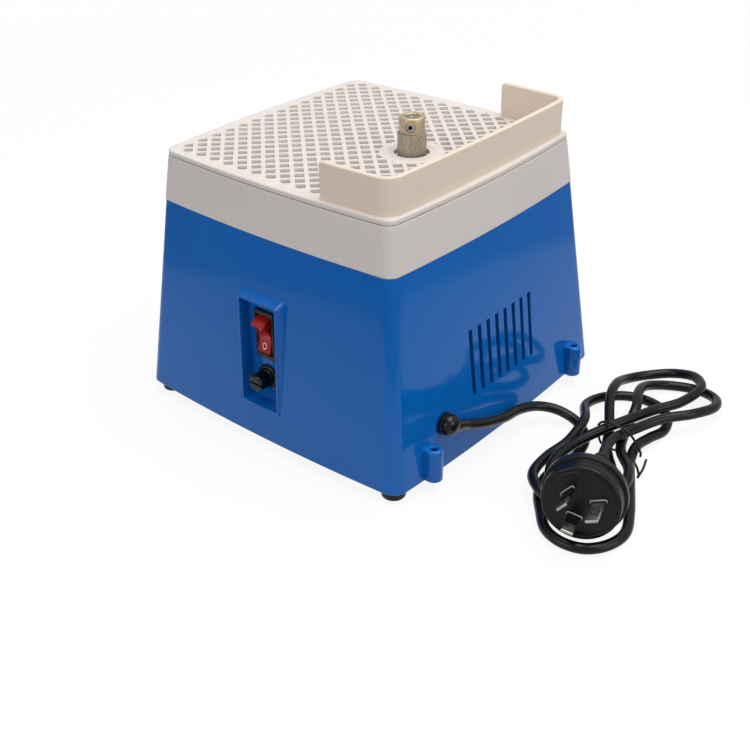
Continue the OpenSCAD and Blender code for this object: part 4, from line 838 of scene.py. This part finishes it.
def fill(loops_of_ids, z):
    """Fills the area inside the first loop and outside the others at level z."""
    pts, edges, where = [], [], []
    for ids in loops_of_ids:
        start, n = len(pts), len(ids)
        pts += [Vector((verts[i][0], verts[i][1])) for i in ids]
        where += ids
        edges += [(start + i, start + (i + 1) % n) for i in range(n)]
    got = delaunay_2d_cdt(pts, edges, [], 0, 1e-7)
    out_pts, out_faces, source = got[0], got[2], got[3]
    ids = []
    for p, old in zip(out_pts, source):
        if old:
            ids.append(where[old[0]])
        else:
            ids.append(len(verts))
            verts.append((p.x, p.y, z))
    polygons = []
    for loop in loops_of_ids:
        points = [(verts[i][0], verts[i][1]) for i in loop]
        xs, ys = zip(*points)
        polygons.append((points, (min(xs), max(xs), min(ys), max(ys))))
    for f in out_faces:
        cx = sum(out_pts[i].x for i in f) / len(f)
        cy = sum(out_pts[i].y for i in f) / len(f)
        if inside(cx, cy, *polygons[0]) and not any(inside(cx, cy, *polygon) for polygon in polygons[1:]):
            faces.append(tuple(ids[i] for i in f))


# the outer rim, from the underside round to the top
rim = [lid_ring(RIM_Z, 0.06), lid_ring(RIM_Z + 0.06, 0), lid_ring(RIM_Z + 0.6, 0), lid_ring(TOP_Z - LID_R - 0.35, 0)]
rim += [lid_ring(TOP_Z - LID_R + LID_R * s, LID_R * c) for s, c in quarter(6)]
rim.append(lid_ring(TOP_Z, LID_R + 0.4))
rim_ids = [ring_ids(r) for r in rim]
bridge_all(rim_ids)
top_fill, bottom_fill = [rim_ids[-1]], [rim_ids[0]]
for kind, loop in holes:
    chamfer, bottom = (0.16, TOP_Z - 2.2) if kind == "peg" else (0.28, RIM_Z)
    rows = [ring_ids(level(grown(loop, chamfer), TOP_Z)),
            ring_ids(level(grown(loop, chamfer * 0.3), TOP_Z - chamfer * 0.3)),
            ring_ids(level(loop, TOP_Z - chamfer)), ring_ids(level(loop, bottom))]
    bridge_all([row[::-1] for row in rows])
    top_fill.append(rows[0])
    if kind == "peg":
        faces.append(tuple(rows[-1]))
    else:
        bottom_fill.append(rows[-1])
# the plain disc: a low raised ring with a fine groove, then the spindle's hole with a rounded lip
disc = [(r, TOP_Z + dz) for r, dz in (
    (16.9, 0), (16.6, 0.05), (16.3, 0.15), (15.9, 0.2), (12.75, 0.2), (12.6, 0.12), (12.5, -0.1), (12.2, -0.14),
    (11.9, -0.1), (11.8, 0), (11.6, 0.05), (10.5, 0.05), (10.15, -0.02), (9.9, -0.25), (9.8, -0.55))]
disc_ids = [ring_ids(level(circle(r), z)) for r, z in disc + [(9.8, RIM_Z)]]
bridge_all([row[::-1] for row in disc_ids])
fill(top_fill + [disc_ids[0]], TOP_Z)
fill(bottom_fill + [disc_ids[-1]], RIM_Z)
lid = add("lattice_top", verts, faces, 32)
SKIRT_HALF, SKIRT_R = TRAY_RIM - 3.3, 3.7
skirt = loft("skirt", [level(outline(SKIRT_HALF - i, SKIRT_R - i, BOW), RIM_Z + dz) for i, dz in (
    (0.0, 0.3), (0.0, -4.6), (0.4, -5), (1.0, -5), (1.4, -4.6), (1.4, 0.3))], closed=True)
piece(join("lattice_worktop", [lid, skirt], 32), "worktop", LID, ("worktop",))

# ---------------- splash guard

G_HALF, G_R, G_BOW, G_T = TRAY_RIM - 1.9, 10.0, 1.5, 3.0
G_FRONT, G_H = guard_lo[1], guard_hi[2] - TOP_Z
TOP_ROUND, END_ROUND, END_EDGE = 1.1, 2.6, 0.9

# the outer face's line from the +X arm's end, round the back, to the -X arm's end
middle = [p for p in outline(G_HALF, G_R, G_BOW, 20, 60) if p[1] >= G_FRONT]
start = max(range(len(middle)), key=lambda i: (middle[i][0] > 0, -middle[i][1]))
middle = [Vector(p) for p in middle[start:] + middle[:start]]
arm_x = G_HALF + G_BOW * (1 - (G_FRONT / (G_HALF - G_R)) ** 2)
path = [Vector((arm_x, G_FRONT))] + [p for p in middle if p.y > G_FRONT + 0.3] + [Vector((-arm_x, G_FRONT))]
normals = []                             # towards the inside
for i in range(len(path)):
    t = (path[min(i + 1, len(path) - 1)] - path[max(i - 1, 0)]).normalized()
    normals.append(Vector((-t.y, t.x)))


def guard_section(p, normal, inset, down):
    """Section of the wall at p, inset from its sides and lowered at the top."""
    half = G_T / 2 - inset
    r = min(TOP_ROUND, half - 0.02)
    mid = p + normal * (G_T / 2)
    h = G_H - down
    pts = [(-half, 0.0)] + [(-half + r * c, h - r + r * s) for s, c in quarter(6)]
    pts += [(half - r * c, h - r + r * s) for s, c in reversed(quarter(6))]
    pts += [(half, 0.0), (half * 0.4, 0.0), (-half * 0.4, 0.0)]
    return [(*(mid + normal * across), TOP_Z + z) for across, z in pts]


def end_sections(p, normal, forward):
    """Sections that close an arm's end: its top corner has a wide radius, its upright edges a small one."""
    out = []
    for s, c in quarter(9):
        along = END_ROUND * c            # distance from the very end
        inset = END_EDGE - sqrt(END_EDGE ** 2 - (END_EDGE - along) ** 2) if along < END_EDGE else 0.0
        out.append(guard_section(p + forward * along, normal, min(inset, END_EDGE * 0.98), END_ROUND * (1 - s)))
    return out


sections = end_sections(path[0], normals[0], (path[1] - path[0]).normalized())
sections += [guard_section(p, m, 0, 0) for p, m in zip(path, normals)
             if (p - path[0]).length > END_ROUND + 0.4 and (p - path[-1]).length > END_ROUND + 0.4]
sections += end_sections(path[-1], normals[-1], (path[-2] - path[-1]).normalized())[::-1]
pegs = []
for side in (-1, 1):
    for y in (G_FRONT + 6, G_HALF - G_R - 4):
        pegs.append((side * (G_HALF + G_BOW * (1 - (y / G_HALF) ** 2) - G_T / 2), y))
    pegs.append((side * G_HALF / 2, G_HALF + G_BOW * (1 - 0.25) - G_T / 2))
pegs = [lathe("peg", [(0, -PEG_L), (0.7, -PEG_L), (1.0, -1.5), (1.0, 0.4), (0, 0.4)], 24, shift(x, y, TOP_Z))
        for x, y in pegs]
guard = join("guard_panel", [loft("guard_wall", sections, angle=40)] + pegs, 40)
piece(guard, "guard", GUARD, ("splash_guard",))

# ---------------- grinding head and spindle

COLLAR_R, COLLAR_H, SLEEVE_R = (head_hi[0] - head_lo[0]) / 2 - 0.4, 9.0, (sleeve_hi[0] - sleeve_lo[0]) / 2
COLLAR_Z, CORE_R, BORE_R = HEAD_Z - COLLAR_H, SLEEVE_R - 1.8, 4.03
PIP_AT = 4.5                             # radius on which the two pips of the collar's face lie
collar = lathe("brass_collar", [
    (BORE_R, head_lo[2]), (CORE_R - 0.3, head_lo[2]), (CORE_R, head_lo[2] + 0.3), (CORE_R, COLLAR_Z - 0.02),
    (COLLAR_R - 0.3, COLLAR_Z - 0.02), (COLLAR_R - 0.08, COLLAR_Z + 0.06), (COLLAR_R, COLLAR_Z + 0.3)]
    + [(r, HEAD_Z - dz) for r, dz in (
        (COLLAR_R, 0.62), (COLLAR_R - 0.1, 0.4), (COLLAR_R - 0.42, 0.08), (COLLAR_R - 0.62, 0), (4.6, 0), (4.35, 0.1),
        (4.1, 0.35), (BORE_R, 0.8))]
    + [(BORE_R, head_lo[2])], 96, AT_SPINDLE, angle=30)
SET_AT = AT_SPINDLE @ shift(0, 0, HEAD_Z - 4.9) @ turn(30, "Z") @ turn(90, "Y")
pips = [cylinder("pip", 0.55, HEAD_Z - 0.9, HEAD_Z + 1,
                 AT_SPINDLE @ shift(PIP_AT * cos(radians(a)), PIP_AT * sin(radians(a))), 20) for a in (130.4, -49.6)]
boolean(collar, [lathe("bore", [(0, 0), (2.6, 0), (2.6, 9), (0, 9)], 48, SET_AT)] + pips, angle=30)
piece(collar, "head", BRASS, ("grinding_head",))
half = [(CORE_R + 0.05, 0), (SLEEVE_R - 0.4, 0), (SLEEVE_R - 0.1, 0.12), (SLEEVE_R, 0.45)]
sleeve = lathe("grit_sleeve", [(r, sleeve_lo[2] + dz) for r, dz in half]
               + [(r, sleeve_hi[2] - dz) for r, dz in reversed(half)] + [(CORE_R + 0.05, sleeve_lo[2])], 96, AT_SPINDLE)
piece(sleeve, "head", GRIT, ("diamond_sleeve",))
grub = lathe("grub_screw", [(0, 4.1), (2.2, 4.1), (2.4, 4.3), (2.4, 6.45), (2.25, 6.6), (2.05, 6.6), (1.5, 6.3),
                            (0, 6.3)], 48, SET_AT)
boolean(grub, [lathe("hex", [(0, 4.8), (1.35, 4.8), (1.35, 8), (0, 8)], 6, SET_AT)], angle=30)
piece(grub, "head", GRUB, ("set_screw",))


def in_socket_shade(p):
    local = SET_AT.inverted() @ p
    return local.z < 6.25 and sqrt(local.x ** 2 + local.y ** 2) < 1.5


# painted shade: the faces inside the hex socket get the near-black material
second_material(grub, SOCKET_SHADE, in_socket_shade)
shaft = lathe("spindle_rod", [
    (0, shaft_lo[2]), (3.5, shaft_lo[2]), (4, shaft_lo[2] + 0.5), (4, shaft_hi[2] - 0.6), (3.85, shaft_hi[2] - 0.25),
    (3.4, shaft_hi[2]), (1.5, shaft_hi[2]), (1.2, shaft_hi[2] - 0.5), (0.2, shaft_hi[2] - 1.5), (0, shaft_hi[2] - 1.5)],
              64, AT_SPINDLE)
piece(shaft, "spindle", SHAFT, ("spindle_shaft",))

# ---------------- switch

ROCKER_AT = shift(PANEL_X - 1.5, -0.2, SWITCH_Z) @ turn(13, "Y")
RIDGE, DIP, ROCKER_W = 6.9, 3.1, 9.5
BEZEL_T, BEZEL_R = 1.3, 0.7              # its straight edge and the rounding in front of it


def rocker_face(z):
    """x of the rocker's dished face at local height z: two hollows that meet in the middle."""
    t = min(max(1 - abs(z) / 9.1, 0.0), 1.0)
    return RIDGE - (RIDGE - DIP) * sin(pi / 2 * t) ** 0.85


lower = [(-6.5, -4.0), (-1.0, -11.6), (2.6, -11.5), (RIDGE - 0.95, -10.05), (RIDGE - 0.2, -9.6), (RIDGE, -9.1)]
lower += [(rocker_face(z), z) for z in [-9.1 + 0.91 * k for k in range(1, 10)]]
prof = lower + [(DIP, 0.0)] + [(x, -z) for x, z in reversed(lower)]
rings = []
for y, shrink in ((-ROCKER_W / 2, 0.035), (-ROCKER_W / 2 + 0.12, 0.016), (-ROCKER_W / 2 + 0.4, 0.0),
                  (ROCKER_W / 2 - 0.4, 0.0), (ROCKER_W / 2 - 0.12, 0.016), (ROCKER_W / 2, 0.035)):
    rings.append([ROCKER_AT @ Vector((1.0 + (x - 1.0) * (1 - shrink * 1.3), y, z * (1 - shrink))) for x, z in prof])
piece(loft("rocker_paddle", rings, angle=28), "rocker", RED, ("rocker",))


def mark(name, points, thick=0.09):
    """A printed mark on the rocker: a ring of outer and inner points (y, z)."""
    verts, faces = [], []
    for pair in points:
        for y, z in pair:
            verts += [ROCKER_AT @ Vector((rocker_face(z) + dx, y, z)) for dx in (-0.15, thick)]
    for k in range(len(points)):
        a, b = 4 * k, 4 * ((k + 1) % len(points))
        faces += [(a + 1, b + 1, b + 3, a + 3), (a, a + 2, b + 2, b), (a, b, b + 1, a + 1),
                  (a + 2, a + 3, b + 3, b + 2)]
    return add(name, verts, faces, 40)


off_mark = mark("off_mark", [[(r * cos(2 * pi * k / 32), -6.0 + r * sin(2 * pi * k / 32)) for r in (1.75, 1.2)]
                             for k in range(32)])
on_mark = mark("on_mark", [((0.32, 4.6), (0.1, 4.7)), ((0.32, 7.4), (0.1, 7.3)), ((-0.32, 7.4), (-0.1, 7.3)),
                           ((-0.32, 4.6), (-0.1, 4.7))])
piece(join("rocker_marks", [off_mark, on_mark], 40), "rocker", MARK)


def switch_ring(ahead, w, h, r):
    return [(PANEL_X + ahead, y, SWITCH_Z + z) for y, z in rounded_rect(w, h, r)]


rings = [switch_ring(0, 14.5, 30.5, 0.8), switch_ring(BEZEL_T, 14.5, 30.5, 0.8)]
for s, c in quarter(5, 1):
    i = BEZEL_R * c
    rings.append(switch_ring(BEZEL_T + BEZEL_R * s, 14.5 - 2 * i, 30.5 - 2 * i, max(0.8 - i, 0.1)))
bezel = loft("switch_bezel", rings, angle=30)
boolean(bezel, [box("body", (PANEL_X - 20, -6.25, SWITCH_Z - 13.5), (PANEL_X + 0.5, 6.25, SWITCH_Z + 13.5))]
        + [box("tab", (PANEL_X - 27, -0.4, SWITCH_Z + z - 3.1), (PANEL_X - 19, 0.4, SWITCH_Z + z + 3.1))
           for z in (-8, 8)], "UNION", 30)
well = [switch_ring(ahead, 11.2 + 2 * i, 24.4 + 2 * i, 0.4 + i)
        for ahead, i in ((-11, 0), (1.5, 0), (2.02, 0.5), (5, 0.6))]
boolean(bezel, [loft("well", well)], angle=30)
piece(bezel, "base", SWITCH, ("switch_body",))

# ---------------- fuse cap and holder

CAP_X = PANEL_X + 2.1


def knurl(t, r, z):
    if 1.3 < z - CAP_X < 8.3 and r > 4:
        return r - 0.32 * (0.5 + 0.5 * cos(30 * t)) ** 1.5
    return r


cap = lathe("fuse_knob", [(r, CAP_X + dz) for r, dz in (
    (0, 0.95), (2.65, 0.95), (2.65, -4), (3.5, -4), (3.5, 0), (5.5, 0), (5.75, 0.15), (5.8, 0.5), (5.55, 0.95),
    (5.3, 1.3), (5.28, 1.6), (5.2, 4), (5.12, 8.0), (5.1, 8.35), (5.0, 8.9), (4.75, 9.3), (4.35, 9.55), (3.9, 9.6),
    (3.4, 9.6), (3.3, 9.45), (0, 9.4))], 240, ALONG_X, knurl, angle=40)
boolean(cap, [box("slot", (CAP_X + 8.2, -7, FUSE_Z - 0.6), (CAP_X + 12, 7, FUSE_Z + 0.6))], angle=40)
piece(cap, "fuse_cap", BUSHING, ("fuse_cap",))
holder = lathe("fuse_barrel", [(r, PANEL_X + dz) for r, dz in (
    (0, -28), (5.4, -28), (6.0, -27.4), (6.0, 0), (6.9, 0), (7.2, 0.3), (7.3, 0.8), (7.2, 1.3), (6.8, 1.75),
    (6.3, 2.0), (3.7, 2.0), (3.7, -25), (0, -25))], 72, ALONG_X, angle=32)
boolean(holder, [box("tab", (PANEL_X - 34, -0.4, FUSE_Z - 2.5), (PANEL_X - 27, 0.4, FUSE_Z + 2.5)),
                 box("tab", (PANEL_X - 19, 5.2, FUSE_Z - 2), (PANEL_X - 18.2, 11, FUSE_Z + 2))], "UNION", 32)
piece(holder, "base", SWITCH, ("fuse_holder",))

# ---------------- feet

FOOT_XY = span("rubber_feet")[1][0] - 7.0
pads = [lathe("foot", [
    (3.2, SHELL_Z), (3.2, 3.5), (5.2, 3.5), (5.2, 0.15), (5.4, 0), (5.9, 0.02), (6.4, 0.2), (6.75, 0.6), (6.85, 1.2),
    (6.95, 4.5), (7.0, 6.4), (6.9, 6.8), (6.6, SHELL_Z), (3.2, SHELL_Z)], 48, shift(sx * FOOT_XY, sy * FOOT_XY))
        for sx in (-1, 1) for sy in (-1, 1)]
piece(join("foot_pads", pads), "base", RUBBER, ("rubber_feet",))

# ---------------- stage, world and lights

floor_mesh = bpy.data.meshes.new("floor")
floor_mesh.from_pydata([(-8, -8, 0), (8, -8, 0), (8, 8, 0), (-8, 8, 0)], [], [(0, 1, 2, 3)])
floor = put("floor", floor_mesh)


def mix_shader(tree, factor, a, b):
    return add_node(tree, "ShaderNodeMixShader", {0: factor, 1: a, 2: b})


def diffuse(tree, grey):
    return add_node(tree, "ShaderNodeBsdfDiffuse", {"Color": (grey, grey, grey)})


def shader_tree(owner, output):
    """An empty tree with its output and the light path's sockets."""
    owner.use_nodes = True
    tree = owner.node_tree
    tree.nodes.clear()
    return tree, tree.nodes.new(output).inputs["Surface"], tree.nodes.new("ShaderNodeLightPath").outputs


def by_ray(tree, paths, other, glossy, seen):
    """One shader for what the camera sees, or sees through glass, one for glossy rays and one for the rest."""
    direct = add_node(tree, "ShaderNodeMath", {0: paths["Is Camera Ray"], 1: paths["Is Transmission Ray"]},
                      operation="MAXIMUM")
    return mix_shader(tree, direct, mix_shader(tree, paths["Is Glossy Ray"], other, glossy), seen)


floor_mat = bpy.data.materials.new("floor")
tree, out, paths = shader_tree(floor_mat, "ShaderNodeOutputMaterial")
place = tree.nodes.new("ShaderNodeNewGeometry").outputs["Position"]
away = add_node(tree, "ShaderNodeVectorMath", {0: place}, "Value", operation="LENGTH")      # from the middle, in metres
pale = diffuse(tree, 0.95)
glow = add_node(tree, "ShaderNodeEmission", {"Color": (1, 1, 1), "Strength": 1.0})
# painted pool of light: glossy rays see the floor glow brightest near the middle, the glow fading with distance
fading = add_node(tree, "ShaderNodeMath", {0: mapped(tree, away, 0.78, 0.46, 0.14, 0.38),
                                           1: mapped(tree, away, 0.80, 0.08, 0.35, 0.42)}, operation="MINIMUM")
near_glow = add_node(tree, "ShaderNodeEmission", {"Strength": fading})
seen = mix_shader(tree, mapped(tree, away, 0.11, 0.0, 0.35, 1.3), glow, pale)
mirrored = mix_shader(tree, 0.15, near_glow, pale)
tree.links.new(by_ray(tree, paths, diffuse(tree, 0.40), mirrored, seen), out)
floor.data.materials.append(floor_mat)

world = bpy.data.worlds.new("world")
SCENE.world = world
tree, out, paths = shader_tree(world, "ShaderNodeOutputWorld")
lit, grey, white = (add_node(tree, "ShaderNodeBackground", {"Color": color, "Strength": strength})
                    for color, strength in (((0.99, 0.99, 1.0), 0.42), ((1, 1, 1), 0.55), ((1, 1, 1), 1.0)))
tree.links.new(by_ray(tree, paths, lit, grey, white), out)


def area_light(name, at, target, size, watts):
    light = bpy.data.lights.new(name, "AREA")
    light.shape = "RECTANGLE"
    light.size, light.size_y = size
    light.energy = watts
    ob = put(name, light)
    ob.location = at
    ob.rotation_euler = (Vector(at) - Vector(target)).to_track_quat("Z", "Y").to_euler()


area_light("top softbox", (-0.15, 0.25, 1.5), (0, 0, 0.1), (1.3, 1.3), 18)
area_light("right softbox", (-0.1, 1.7, 0.75), (0, 0, 0.08), (1.1, 1.0), 6.3)
area_light("left softbox", (1.7, -0.35, 0.75), (0, 0, 0.08), (1.0, 1.0), 5.9)

SCENE.view_settings.view_transform = "Standard"
